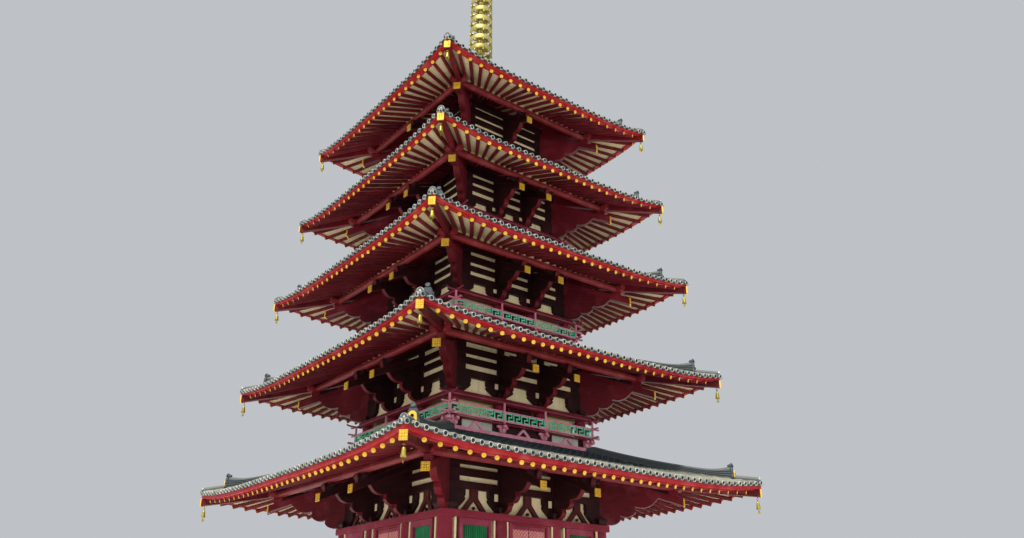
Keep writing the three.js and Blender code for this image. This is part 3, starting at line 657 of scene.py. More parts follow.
def roofSlope(heap, form):
    storey = form.storey
    pitch = 2 * storey["edge"] / storey["rows"]
    for row in range(storey["rows"]):
        y = (row + 0.5) * pitch - storey["edge"]
        if abs(y) < storey["edge"] - 0.12:
            tileCourses(heap, form, y, coverShape, 0.018)
        edgeZ = form.topZ(storey["edge"], y / storey["edge"]) - tiles["bed"] + 0.012
        eaveDisc(heap, (storey["edge"] - tiles["discIn"], y, edgeZ), (1.0, 0.0, -0.12))
    for row in range(1, storey["rows"]):
        y = row * pitch - storey["edge"]
        tileCourses(heap, form, y, panShape, 0.014)
        panLip(heap, form, y)
    # the clay bed under the tiles, down to the boards
    stations = np.linspace(storey["edge"] - 0.03, form.flatIn, 9)
    top = [(d, lambda s, d=d: form.topZ(d, s) - tiles["clayTop"]) for d in stations]
    low = [(d, lambda s, d=d: form.topZ(d, s) - tiles["clayLow"]) for d in stations[::-1]]
    heap.band(top + low, roofTile, eaveSpots)


ridge = {"stop": 0.89, "curlOver": 0.9, "curl": 0.8}  # where the high ridge ends, and how it turns up there


def ridgeSection():
    side = [(0.17, -0.11), (0.17, -0.01), (0.150, 0.0), (0.150, 0.03), (0.178, 0.03), (0.178, 0.055),
            (0.142, 0.06), (0.142, 0.09), (0.168, 0.09), (0.168, 0.115), (0.128, 0.12), (0.128, 0.145),
            (0.150, 0.145), (0.150, 0.17), (0.088, 0.172)]
    turn = np.linspace(0.25, math.pi - 0.25, 6)
    cap = [(math.cos(a) * 0.088, 0.165 + math.sin(a) * 0.085) for a in turn]
    return np.array(side + cap + [(-v, w) for v, w in reversed(side)])


def endTile(heap, d, z, gilded):
    # the upright tile that closes a ridge: a shouldered plate, a raised rim, a boss, a round tile on top
    right = np.array([(0.20, 0.0), (0.23, 0.05), (0.20, 0.11)] + curve((0.18, 0.16), (0.15, 0.40), 0.06) +
                     curve((0.15, 0.40), (0.06, 0.50), 0.12, 3) + [(0.0, 0.515)])
    outline = np.concatenate([right, right[-2::-1] * (-1, 1)])
    at = np.array([d, d, z])
    heap.plate(outline, at, -acrossDiagonal, up, 0.09, roofTile, 0.012, tone=0.2)
    heap.plate(shrink(outline, 0.03), at + diagonal * 0.055, -acrossDiagonal, up, 0.03, roofTile, 0.008,
               tone=0.3)
    if gilded:
        face = [(-0.13, 0.05), (0.13, 0.05), (0.15, 0.12), (0.12, 0.30), (0.05, 0.37), (-0.05, 0.37),
                (-0.12, 0.30), (-0.15, 0.12)]
        heap.plate(face, at + diagonal * 0.085, -acrossDiagonal, up, 0.05, gilt, 0.015)
    boss = darkIron if gilded else roofTile
    heap.turned([(0.05, 0.0), (0.055, 0.045), (0.045, 0.06), (0.03, 0.045), (0.02, 0.07), (0.0, 0.08)],
                at + up * 0.22 + diagonal * (0.075 if gilded else 0.06), boss, diagonal, 16, tone=0.3)
    roundTile = [(0.070, -0.02), (0.078, 0.0), (0.078, 0.13), (0.088, 0.14), (0.088, 0.18), (0.072, 0.186),
                 (0.066, 0.176), (0.0, 0.178)]
    heap.turned(roundTile, at + up * 0.50 - diagonal * 0.10, roofTile, diagonal * 0.9 + up * 0.35, 14,
                tone=0.2)


def hipRidge(heap, form):
    storey = form.storey
    ridgeEnd = storey["edge"] - ridge["stop"]
    curlOver = ridge["curlOver"]
    section = ridgeSection()
    rings = []
    straight = np.linspace(form.flatIn + 0.1, ridgeEnd - curlOver, 9)
    curled = np.linspace(ridgeEnd - 0.8, ridgeEnd, 7)
    for d in np.concatenate([straight, curled]):
        taller = 1 + ridge["curl"] * max(0.0, (d - ridgeEnd + curlOver) / curlOver) ** 2.5
        centre = np.array([d, d, form.topZ(d, 1.0)])
        rings.append([centre + acrossDiagonal * v + up * (w * (taller if w > 0 else 1))
                      for v, w in section])
    heap.sweep(rings, roofTile, diagonal, tone=0.4)
    endTile(heap, ridgeEnd + 0.03, form.topZ(ridgeEnd, 1.0) - 0.06, storey is storeys[0])
    # the low ridge out to the corner: round tiles on one layer, closed by a disc
    side = [(0.15, -0.11), (0.15, 0.012), (0.105, 0.02), (0.10, 0.04)]
    cap = [(math.cos(a) * 0.095, 0.035 + math.sin(a) * 0.09) for a in np.linspace(0.2, math.pi - 0.2, 7)]
    low = np.array(side + cap + [(-v, w) for v, w in reversed(side)])
    rings = []
    for d in np.linspace(ridgeEnd, storey["edge"] - 0.10, 5):
        rings.append([np.array([d, d, form.topZ(d, 1.0)]) + acrossDiagonal * v + up * w for v, w in low])
    heap.sweep(rings, roofTile, diagonal, tone=0.5)
    tip = np.array([storey["edge"], storey["edge"], form.topZ(storey["edge"], 1.0) + 0.03])
    disc = [(0.1, -0.06), (0.118, -0.05), (0.118, 0.0), (0.1, 0.008), (0.095, -0.008), (0.05, -0.006),
            (0.04, 0.008), (0.0, 0.012)]
    # the closing disc in the pale rim colour: painted highlight
    heap.turned(disc, tip - diagonal * 0.15, paleRim, diagonal, 16)


def buildRoof(level):
    heap = Heap()
    form = forms[level]
    roofSlope(heap, form)
    hipRidge(heap, form)
    heap.make(f"storey{level + 1}_tiles", stands=(f"storey{level + 1}_roof",), slot="roof_tile")


# eaves: round rafters that fan out at the corners, plaster between them, boards and wind bells

eave = {"rod": 0.078, "cap": 0.074, "soffitUp": 0.07, "soffitThick": 0.04, "hipWide": 0.19, "hipHigh": 0.28,
        "hipCap": 0.255, "hipDeeper": 0.20, "hipPast": 0.098, "aim": 0.13, "lowBoard": 0.05}


def rafterPlaces(storey):
    count, pitch, first = storey["rafters"]
    start, last, fans = storey["fans"]
    t = np.arange(fans) / (fans - 1)
    places = [first + pitch * i for i in range(count)]
    # a little wider apart towards the corner
    places += list(start + (last - start) * (0.91 * t + 0.09 * t * t))
    return sorted({round(sign * y, 4) for y in places for sign in (-1, 1)})


def roundCap(heap, at, axis, r):
    heap.turned([(r * 1.06, -0.020), (r * 1.06, 0.002), (r * 0.98, 0.008), (r * 0.30, 0.012), (0.0, 0.021)],
                at, gilt, axis, 10)


def rafterRods(heap, form):
    # the middle rods run straight out; the others all aim at one point inside, near the inner columns
    storey = form.storey
    wall, end = storey["wall"], storey["end"]
    aim = eave["aim"] * end
    for y in rafterPlaces(storey):
        side = math.copysign(1.0, y)
        turn = max(0.0, (abs(y) - aim) / (end - aim))
        inner = max(wall - 0.05, aim + 0.2 / (1 - turn) if turn else 0.0)
        path = []
        for t in (0.0, 0.35, 0.65, 0.85, 1.0):
            d = inner + (end - inner) * t
            across = side * (abs(y) - turn * (end - d))
            path.append((d, across, form.rafterZ(d, across / d) + rafterUp))
        # the rods in the darker rafter paint: painted shade
        heap.rod(path, eave["rod"], rafterPaint, 8)
        axis = np.array(path[-1]) - np.array(path[-2])
        roundCap(heap, path[-1], axis, eave["cap"])


def eaveBoards(heap, form):
    storey = form.storey
    end = storey["end"]
    under = lambda s: form.rafterZ(end, s) + rafterUp
    top = lambda s: form.topZ(form.fascia, s) - 0.15
    middle = lambda s: under(s) + 0.05 + eave["lowBoard"]
    low = [(end - 0.14, lambda s: under(s) + 0.05), (end - 0.008, lambda s: under(s) + 0.05),
           (end, lambda s: under(s) + 0.058), (end, middle), (end - 0.14, middle)]
    heap.band(low, redPaint, eaveSpots)
    high = [(end - 0.10, middle), (form.fascia - 0.008, middle), (form.fascia, lambda s: middle(s) + 0.008),
            (form.fascia, lambda s: top(s) + 0.02), (end - 0.10, lambda s: top(s) + 0.02)]
    heap.band(high, redPaint, eaveSpots)
    # the plaster ceiling between the rafters
    stations = np.linspace(storey["wall"] - 0.1, end - 0.12, 7)
    ceiling = lambda d, s: form.rafterZ(d, s) + rafterUp + eave["soffitUp"]
    low = [(d, lambda s, d=d: ceiling(d, s)) for d in stations]
    high = [(d, lambda s, d=d: ceiling(d, s) + eave["soffitThick"]) for d in stations[::-1]]
    heap.band(low + high, plaster, eaveSpots)


def hipRafter(heap, form):
    # straight on its underside, so it stands deeper below the rods towards the wall
    storey = form.storey
    tip = storey["end"] + eave["hipPast"]
    stations = np.linspace(storey["wall"] + 0.1, tip, 8)
    high = eave["hipHigh"]
    section = np.array(barSection(eave["hipWide"], high, 0.014))
    rings = []
    for d in stations:
        deeper = eave["hipDeeper"] * min(1.0, (tip - d) / (tip - storey["purlin"]))
        centre = np.array([d, d, form.rafterZ(d, 1.0)])
        rings.append([centre + acrossDiagonal * v + up * (w - (deeper if w < 0 else 0))
                      for v, w in section])
    heap.sweep(rings, armPaint, diagonal)
    end = np.array([tip, tip, form.rafterZ(tip, 1.0)])
    squareCap(heap, end, diagonal, eave["hipCap"], high + 0.03, 0.03)
    windBell(heap, np.array([tip - 0.10, tip - 0.10, end[2] - high / 2]))


def squareCap(heap, at, outward, wide, high, long):
    # a gilt shoe over a beam's end: a raised border and nine low squares, each with a boss
    u = np.cross(up, outward)
    u /= np.linalg.norm(u)
    w, h = wide / 2, high / 2
    full = np.array([(-w, -h), (w, -h), (w, h), (-w, h)])
    at = np.asarray(at, float)
    steps = [(full * 0.985, -long), (full, -long + 0.01), (full, 0.012), (full * 0.965, 0.022),
             (full * 0.88, 0.022), (full * 0.86, 0.006)]
    rings = [at + p[:, :1] * u + p[:, 1:] * up + outward * t for p, t in steps]
    heap.sweep(rings, gilt, u, caps=False)
    heap.add(rings[-1], [np.arange(4)[None]], tarnish, u)
    for i in (-1, 0, 1):
        for j in (-1, 0, 1):
            tile = full * 0.245
            spot = at + u * i * w * 0.57 + up * j * h * 0.57
            rings = [spot + p[:, :1] * u + p[:, 1:] * up + outward * t for p, t in
                     ((tile, 0.004), (tile * 0.94, 0.018), (tile * 0.5, 0.018), (tile * 0.3, 0.026))]
            heap.sweep(rings, gilt, u)


def windBell(heap, at):
    heap.rod([at + up * 0.02, at - up * 0.17], 0.010, darkIron, 8)
    heap.turned([(0.012, 0.0), (0.036, -0.008), (0.046, -0.03), (0.022, -0.05), (0.0, -0.052)][::-1],
                at - up * 0.07, bellBronze, up, 12)
    body = [(0.0, -0.455), (0.052, -0.45), (0.082, -0.465), (0.090, -0.45), (0.076, -0.375), (0.066, -0.30),
            (0.059, -0.235), (0.047, -0.19), (0.024, -0.168), (0.0, -0.165)]
    heap.turned(body, at, bellBronze, up, 16)
    heap.rod([at - up * 0.45, at - up * 0.53], 0.006, darkIron, 8)
    outline = [(0.0, -0.64), (0.05, -0.605), (0.062, -0.555), (0.0, -0.525), (-0.062, -0.555),
               (-0.05, -0.605)]
    heap.plate(outline, at, diagonal, up, 0.010, bellBronze, 0.003)


def buildEaves(level):
    heap = Heap()
    form = forms[level]
    rafterRods(heap, form)
    eaveBoards(heap, form)
    hipRafter(heap, form)
    heap.make(f"storey{level + 1}_rafters", stands=(f"storey{level + 1}_eaves",), slot="red_timber")


# brackets: bearing blocks, cloud-shaped arms, tail rafters with gilt ends, wall beams and the outer purlin

bracket = {"arm": 0.22, "tailHigh": 0.27, "tailSlope": 0.45, "past": 0.44, "wallArm": 0.20, "post": 0.32}


def projectingArm(heap, storey, at, outward, stretch, reach, tipZ, purlinZ, slope, wide, sides=shadedPaint):
    # at: the wall's place; stretch: how much longer than on the square side
    head, half = storey["head"], bracket["tailHigh"] / 2
    line = lambda r: tipZ + slope * (reach - r)
    f = reach
    high = line(0.5 * f) - half - head  # room under the tail rafter
    lower = [(0.0, head + 0.02), (0.16 * f, head + 0.02)]
    lower += curve((0.17 * f, head + 0.03), (0.27 * f, head + 0.26 * high), 0.16, 5)
    lower += curve((0.25 * f, head + 0.30 * high), (0.46 * f, head + 0.52 * high), 0.24, 6)
    lower += curve((0.43 * f, head + 0.57 * high), (0.70 * f, line(0.70 * f) - half + 0.02), 0.20, 6)
    lower += [(0.71 * f, line(0.71 * f) - half + 0.03), (0.0, line(0.0) - half + 0.03)]
    # the sides take a darker paint than the edges and underside: a shaded copy of the same paint, painted
    # shade
    heap.plate(lower, at, outward, up, wide, armPaint, 0.014, sides=sides)
    # the tail rafter, cut plumb at its end
    root = -0.25
    tail = [(root, line(root) - half), (f, tipZ - half), (f, tipZ + half), (root, line(root) + half)]
    heap.plate(tail, at, outward, up, wide + 0.02, armPaint, 0.014, grain=outward - up * slope, sides=sides)
    tip = np.asarray(at) + outward * f + up * tipZ
    squareCap(heap, tip, outward, wide + 0.04, bracket["tailHigh"] + 0.025, 0.035)
    # the block and small cloud arm that lift the purlin off the tail rafter
    purlinAt = (storey["purlin"] - storey["wall"]) * stretch
    seatZ = line(purlinAt + 0.13) + half
    lift = purlinZ - seatZ
    block = [(-0.15, 0.0), (0.15, -0.06), (0.17, 0.45 * lift), (0.20, 0.62 * lift), (0.20, lift),
             (-0.20, lift), (-0.20, 0.62 * lift), (-0.17, 0.45 * lift)]
    heap.plate([(purlinAt + x, seatZ + z) for x, z in block], at, outward, up, wide, armPaint, 0.012,
               sides=sides)
    inside = [(purlinAt - 0.95, line(purlinAt - 0.95) + half - 0.02),
              (purlinAt - 0.12, line(purlinAt - 0.12) + half - 0.02)]
    inside += [(purlinAt - 0.12, purlinZ)]
    inside += curve((purlinAt - 0.30, purlinZ), (purlinAt - 0.62, purlinZ + 0.04), 0.14, 5)
    inside += [(purlinAt - 0.95, line(purlinAt - 0.95) + half + 0.06)]
    # the small arm inside in the near-black paint: painted shade
    heap.plate(inside, at, outward, up, wide - 0.04, shadedPaint, 0.010)


def bearingBlock(heap, at, half, high):
    profile = [(half * 0.70, 0.0), (half * 0.74, 0.12 * high), (half * 0.84, 0.34 * high),
               (half * 0.98, 0.50 * high), (half, 0.54 * high), (half, 0.96 * high), (half * 0.97, high)]
    heap.turned(profile, at, shadedPaint, up, square=True)


def lobeSide(foot, top, high):
    # half of a bracket arm in the wall's plane: a swelling lobe, a small notch, then straight up
    shares = [(0.0, 0.0), (0.02, 0.12), (0.26, 0.20), (0.52, 0.29), (0.74, 0.38), (0.90, 0.46),
              (0.97, 0.53), (0.96, 0.57), (0.88, 0.60), (0.88, 0.64), (0.98, 0.68), (1.0, 0.72), (1.0, 1.0)]
    return [(foot + (top - foot) * a, b * high) for a, b in shares]


def wallArms(heap, storey):
    wall, head = storey["wall"], storey["head"]
    high = storey["plate"] - head + 0.02
    foot, top, cornerFoot, cornerTop = storey["arms"]
    x = wall + 0.02
    # the arms and blocks in the wall's plane take the near-black paint: painted shade
    for y in columnSpots(storey):
        side = lobeSide(foot, top, high)
        heap.plate(mirrored(side), (x, y, head), north, up, bracket["wallArm"], shadedPaint, 0.012,
                   grain=north)
        for sign in (-1, 1):
            wallSlot(heap, x, y + sign * (storey["radius"] * 0.88), head, high)
    for sign in (-1, 1):
        side = lobeSide(cornerFoot, cornerTop, high)
        outline = [(-0.1, 0.0)] + side + [(-0.1, high)]
        outline = np.array(outline) if sign < 0 else np.array(outline)[::-1] * (-1, 1)
        heap.plate(outline, (x, sign * wall, head), north, up, bracket["wallArm"], shadedPaint, 0.012,
                   grain=north)
    for y in columnSpots(storey):
        bearingBlock(heap, (wall + 0.06, y, head), storey["radius"] * 0.98, 0.30 * high)
    bearingBlock(heap, (wall + 0.02, wall + 0.02, head), storey["radius"] * 1.05, 0.30 * high)


def wallSlot(heap, x, y, head, high):
    # a narrow plastered slot between the arm and its block
    face = x + bracket["wallArm"] / 2
    heap.post(face + 0.001, y, head + 0.55 * high, head + 0.88 * high, 0.16, 0.02, plaster, 0.004)


wallBeam = {"back": 0.05, "out": 0.13, "plaster": 0.045, "end": 0.16, "mullion": 0.22}


def wallBeams(heap, storey, form):
    # the ring beams and the plaster strips between them, up to the rafters
    wall = storey["wall"]
    levels = [storey["plate"]] + [z for strip in storey["strips"] for z in strip]
    a, b, cut = wall - wallBeam["back"], wall + wallBeam["out"], 0.012
    levels.append(float(form.rafterZ(b, 0.0)) + rafterUp - 0.03)
    # the ring beams take the near-black paint: painted shade under the eaves
    for low, top in zip(levels[::2], levels[1::2]):
        heap.band([(a, low), (b - cut, low), (b, low + cut), (b, top - cut), (b - cut, top), (a, top)],
                  shadedPaint)
    reach = storey["post"]
    post = [(wall - reach, levels[0]), (wall + 0.10, levels[0]), (wall + 0.10, levels[-1]),
            (wall - reach, levels[-1])]
    for outline in (post, [(-d, z) for d, z in reversed(post)]):
        heap.plate(outline, (wall + 0.02, 0, 0), north, up, wallBeam["end"], shadedPaint, 0.008)
    for y in columnSpots(storey):
        heap.post(wall + 0.04, y, levels[0], levels[-1], bracket["post"], wallBeam["mullion"], shadedPaint)
    b = wall + wallBeam["plaster"]
    for low, top in storey["strips"]:
        heap.band([(a, low - 0.01), (b, low - 0.01), (b, top + 0.01), (a, top + 0.01)], plaster)


def outerPurlin(heap, storey, form):
    # a round log along each side, past the corners, with plaster between the rafters that lie on it
    p, (z, r) = storey["purlin"], storey["log"]
    reach = p + bracket["past"]
    path = [(p, y, z) for y in (-reach, -reach + 0.02, -p, 0.0, p, reach - 0.02, reach)]
    # the log in the darker log paint: painted shade
    heap.rod(path, [r * 0.9, r, r, r, r, r, r * 0.9], logPaint, 16)
    under = lambda s: form.rafterZ(p, s) + rafterUp - eave["rod"]
    soffit = lambda s: form.rafterZ(p, s) + rafterUp + eave["soffitUp"] + 0.01
    # the board between log and rods in the near-black paint: painted shade
    heap.band([(p - 0.05, z), (p + 0.05, z), (p + 0.05, under), (p - 0.05, under)], shadedPaint, eaveSpots)
    heap.band([(p - 0.04, under), (p + 0.04, under), (p + 0.04, soffit), (p - 0.04, soffit)], plaster,
              eaveSpots)
    return z - r


def buildBrackets(level):
    heap = Heap()
    storey, form = storeys[level], forms[level]
    wall = storey["wall"]
    purlinZ = outerPurlin(heap, storey, form)
    wallBeams(heap, storey, form)
    wallArms(heap, storey)
    reach = storey["tail"][0] - wall
    for y in columnSpots(storey):
        projectingArm(heap, storey, np.array([wall, y, 0.0]), east, 1.0, reach, storey["tail"][1], purlinZ,
                      bracket["tailSlope"], bracket["arm"])
        # a small cloud arm along the purlin, on the tail rafter's block, in the near-black paint that is
        # painted shade
        side = lobeSide(0.14, 0.46, 0.2)
        heap.plate(mirrored(side), (storey["purlin"], y, purlinZ - 0.2), north, up, 0.15,
                   shadedPaint, 0.012, grain=north)
    # the corner arm's sides in the darker rafter paint: painted shade
    projectingArm(heap, storey, np.array([wall, wall, 0.0]), diagonal, root2,
                  (storey["corner"][0] - wall) * root2, storey["corner"][1], purlinZ,
                  bracket["tailSlope"] / root2, bracket["arm"] + 0.03, rafterPaint)
    if level == 0:
        braces(heap, storey)
    heap.make(f"storey{level + 1}_bracket_work", stands=(f"storey{level + 1}_brackets",), slot="red_timber")


def braces(heap, storey):
    # inverted V struts, with a small round stud between their legs
    wall, inner, head = storey["wall"], storey["inner"], storey["head"]
    high = storey["plate"] - head
    outer = [(0.57, 0.0), (0.45, 0.13), (0.32, 0.285), (0.20, 0.42), (0.168, 0.47), (0.165, 0.53),
             (0.165, high + 0.01)]
    under = [(0.0, 0.385), (0.10, 0.27), (0.22, 0.13), (0.335, 0.0)]
    outline = mirrored(outer) + [(-x, z) for x, z in reversed(under)] + under[1:]
    for y in (0.0, (wall + inner) / 2, -(wall + inner) / 2):
        heap.plate(outline, (wall + 0.02, y, head), north, up, 0.11, bracePaint, 0.008, grain=north)
        heap.turned([(0.055, -0.04), (0.06, 0.020), (0.048, 0.034), (0.0, 0.042)],
                    (wall + 0.03, y, head + 0.12), darkIron, east, 14)


# storey walls and frames

headTimber = {"high": 0.25, "out": 0.29, "back": 0.04}
upperDoor = {"half": 0.52, "planks": 3, "thick": 0.05, "play": 0.015}


def roundColumn(heap, x, y, low, top, radius):
    # a little fuller below than at the top
    high = top - low
    profile = [(radius * 0.985, 0.0), (radius, 0.004 * high), (radius, 0.3 * high),
               (radius * 0.985, 0.6 * high), (radius * 0.94, 0.92 * high), (radius * 0.90, high)]
    heap.turned(profile, (x, y, low), columnPaint, up, 28)


def headBeam(heap, storey, finish):
    wall, head, cut = storey["wall"], storey["head"], 0.016
    a, b, low = wall - headTimber["back"], wall + headTimber["out"], head - headTimber["high"]
    heap.band([(a, low), (b - cut, low), (b, low + cut), (b, head - cut), (b - cut, head), (a, head)],
              finish)
    return low


def buildUpperFrame(level):
    heap = Heap()
    storey = storeys[level]
    wall, radius = storey["wall"], storey["radius"]
    floor = storey["base"] + balcony["neckTop"] + balcony["deckHigh"]
    # the upper head beam in the darker rafter paint: painted shade under the eaves
    low = headBeam(heap, storey, rafterPaint)
    for y in columnSpots(storey):
        roundColumn(heap, wall, y, floor, low + 0.02, radius)
    roundColumn(heap, wall, wall, floor, low + 0.02, radius)
    z = floor + 0.05  # a rail at the foot of the wall
    heap.band([(wall - radius - 0.02, z - 0.05), (wall + 0.05, z - 0.05), (wall + 0.06, z - 0.04),
               (wall + 0.06, z + 0.04), (wall + 0.05, z + 0.05), (wall - radius - 0.02, z + 0.05)],
              columnPaint)
    if storey["inner"]:
        half = upperDoor["half"]
        room = half - upperDoor["play"]
        for y in (-half - 0.05, half + 0.05):
            heap.post(wall - 0.02, y, floor, low, 0.10, 0.14, armPaint, 0.01)
        # the door planks in near-black: painted shade
        for leaf in (-1, 1):
            for i in range(upperDoor["planks"]):
                y = leaf * (0.012 + (i + 0.5) * room / upperDoor["planks"])
                heap.post(wall - 0.02, y, floor + 0.10, low - 0.02, room / upperDoor["planks"] - 0.006,
                          upperDoor["thick"], upperDoorPaint, 0.006)
    heap.make(f"storey{level + 1}_timber", stands=(f"storey{level + 1}_frame",), slot="red_timber")


# balconies

def buildBalcony(level):
    heap = Heap()
    storey = storeys[level]
    wall, base, inner = storey["wall"], storey["base"], storey["inner"]
    out, neck, top = wall + balcony["base"], wall + balcony["neck"], base + balcony["neckTop"]
    floor, beamTop, cut = top + balcony["deckHigh"], base + balcony["beamTop"], 0.01
    back, low = out - balcony["beamDeep"], base + 0.001
    heap.band([(back, low), (out - cut, low), (out, base + cut), (out, beamTop - cut), (out - cut, beamTop),
               (back, beamTop)], rosePaint)
    back, front = neck - balcony["neckDeep"], neck - 0.02
    # the neck behind the struts in the near-black paint: painted shade
    heap.band([(back, base + 0.05), (front, base + 0.05), (front, floor - 0.04), (back, floor - 0.04)],
              shadedPaint)
    # plaster between the brackets of the side bays, in a grey copy of the plaster that is painted shade,
    # with inverted V struts before it
    a, b = (inner or 0.20) + 0.46, wall - 0.32
    high = floor - 0.05 - beamTop
    for sign in (-1, 1):
        heap.rail(front, sign * a, sign * b, beamTop + high / 2, 0.05, high + 0.02, shadedPlaster, 0.004)
    middle = (out + inner) / 2
    for y in ((-middle, 0.0, middle) if inner else (-1.15, 1.15)):
        for sign in (-1, 1):
            heap.beam((neck + 0.035, y + sign * 0.29, beamTop - 0.01),
                      (neck + 0.035, y + sign * 0.02, beamTop + high - 0.04), 0.10, 0.06, rosePaint, 0.010,
                      above=east)
        heap.post(neck + 0.03, y, beamTop + high - 0.09, beamTop + high, 0.12, 0.06, rosePaint, 0.010)
    # two-lobed brackets under the posts
    lobes = [(0.0, 0.0), (0.05, 0.0), (0.13, 0.03), (0.16, 0.10), (0.13, 0.145), (0.20, 0.15), (0.26, 0.19),
             (0.27, 0.25), (0.25, high), (0.0, high)]
    half = lobes[1:-1]
    for y in list(columnSpots(storey)) + [-(out - 0.08), out - 0.08]:
        heap.plate(mirrored(half), (neck + 0.05, y, beamTop), north, up, 0.09, rosePaint, 0.012,
                   grain=north)
    for y in list(columnSpots(storey)) + [-(wall + 0.02), wall + 0.02]:
        heap.plate(lobes, (neck, y, beamTop), east, up, 0.12, rosePaint, 0.012)
    heap.plate([(w * 1.3, z) for w, z in lobes], (neck - 0.02, neck - 0.02, beamTop), diagonal, up, 0.15,
               rosePaint, 0.012)
    # deck boards, side by side, running out from the wall, in the darker crimson paint: painted shade under
    # the rail
    deck = wall + balcony["deck"]
    boards = max(8, round(2 * deck / balcony["board"]))
    wide = 2 * deck / boards
    for i in range(boards):
        y = -deck + (i + 0.5) * wide
        start = max(wall - 0.25, abs(y) - wide / 2 + 0.004)
        if deck - start > 0.03:
            heap.beam((start, y, floor - 0.024), (deck - float(dice.uniform(0, 0.006)), y, floor - 0.024),
                      wide - 0.006, 0.045, columnPaint, 0.007)
    heap.make(f"storey{level + 1}_balcony_work", stands=(f"storey{level + 1}_balcony",), slot="pale_timber")


fret = {"unit": 0.40, "bar": 0.046, "deep": 0.036}
railing = {"out": 0.365, "underHead": 0.15, "middleDown": 0.36, "past": 0.36, "handPast": 0.46,
           "hand": 0.034, "post": 0.075}


def fretPanel(heap, x, y0, y1, z0, z1):
    # an open key pattern: one bar that turns back on itself in every unit
    bar, deep, cut = fret["bar"], fret["deep"], 0.005
    count = max(1, round((y1 - y0) / fret["unit"]))
    unit, middle = (y1 - y0) / count, (z0 + z1) / 2
    z0, z1 = z0 + bar / 2, z1 - bar / 2
    half = bar / 2
    for k in range(count):
        y = lambda share: y0 + half + (unit * (k + share)) * (1 - bar / (y1 - y0))
        shade = dice.random() * 0.7 + 0.15
        for a, b, z in ((0.0, 0.75, z1), (0.375, 0.75, middle), (0.375, 1.0, z0)):
            heap.rail(x, y(a) - half, y(b) + half, z, deep, bar, fretPaint, cut, tone=shade)
        for a, low, top in ((0.0, z0 - half, z1), (0.75, middle, z1), (0.375, z0, middle)):
            heap.post(x, y(a), low, top, bar - 0.003, deep - 0.003, fretPaint, cut, tone=shade)
    heap.post(x, y1 - half, z0 - half, z1 + half, bar, deep - 0.003, fretPaint, cut)


def buildRailing(level):
    heap = Heap()
    storey = storeys[level]
    out = storey["wall"] + railing["out"]
    floor = storey["base"] + balcony["neckTop"] + balcony["deckHigh"]
    top = storey["head"] - railing["underHead"]
    middle = top - railing["middleDown"]
    reach = out + railing["handPast"]
    bar = lambda z, wide, high, past: heap.rail(out, -past, past, z, wide, high, rosePaint, 0.010,
                                                cross=0.003)
    bar(floor + 0.095, 0.09, 0.075, out + railing["past"])
    bar(middle - 0.03, 0.07, 0.06, out + railing["past"])
    # the handrail is round, with its ends turned up, and in the darker frame paint: painted shade, as the
    # eave shades the top of the railing
    lifts = ((-reach, 0.045), (-reach + 0.12, 0.012), (-out, 0.0), (out, 0.0), (reach - 0.12, 0.012),
             (reach, 0.045))
    heap.rod([(out, y, top - 0.035 + lift) for y, lift in lifts], railing["hand"], framePaint, 12)
    posts = list(columnSpots(storey))
    for y in posts + [out]:
        heap.post(out, y, floor, top - 0.04, railing["post"], railing["post"], rosePaint, 0.012)
    spans = [-out] + posts + [out]
    for a, b in zip(spans[:-1], spans[1:]):
        fretPanel(heap, out, a + 0.045, b - 0.045, floor + 0.13, middle - 0.058)
    heap.make(f"storey{level + 1}_rails", stands=(f"storey{level + 1}_railing",), slot="pale_timber")


# ground floor

ground = storeys[0]
groundTop = ground["head"] - headTimber["high"]
doorway = {"half": 0.80, "top": 5.54, "sill": 1.45, "axis": 3.70, "play": 0.012, "hinge": 0.75,
           "gap": 0.010, "shutGap": 0.001, "hangingPost": 0.04, "pin": 0.024}
leafWork = {"thick": 0.08, "planks": 4, "rail": 0.11, "batten": 0.030, "pitch": 0.14, "margin": 0.06}
window = {"centre": 2.465, "half": 0.56, "low": 3.00, "top": 5.39, "bars": 14, "bar": 0.030,
          "stiles": ((-1, 0.15), (1, 0.12))}


groundFrame = {"deep": 0.32, "sillHigh": 0.20, "jamb": 0.22, "railDown": 0.30,
               "strips": ((3.335, 0.09), (1.645, 0.07), (1.06, 0.08))}  # place and width of each


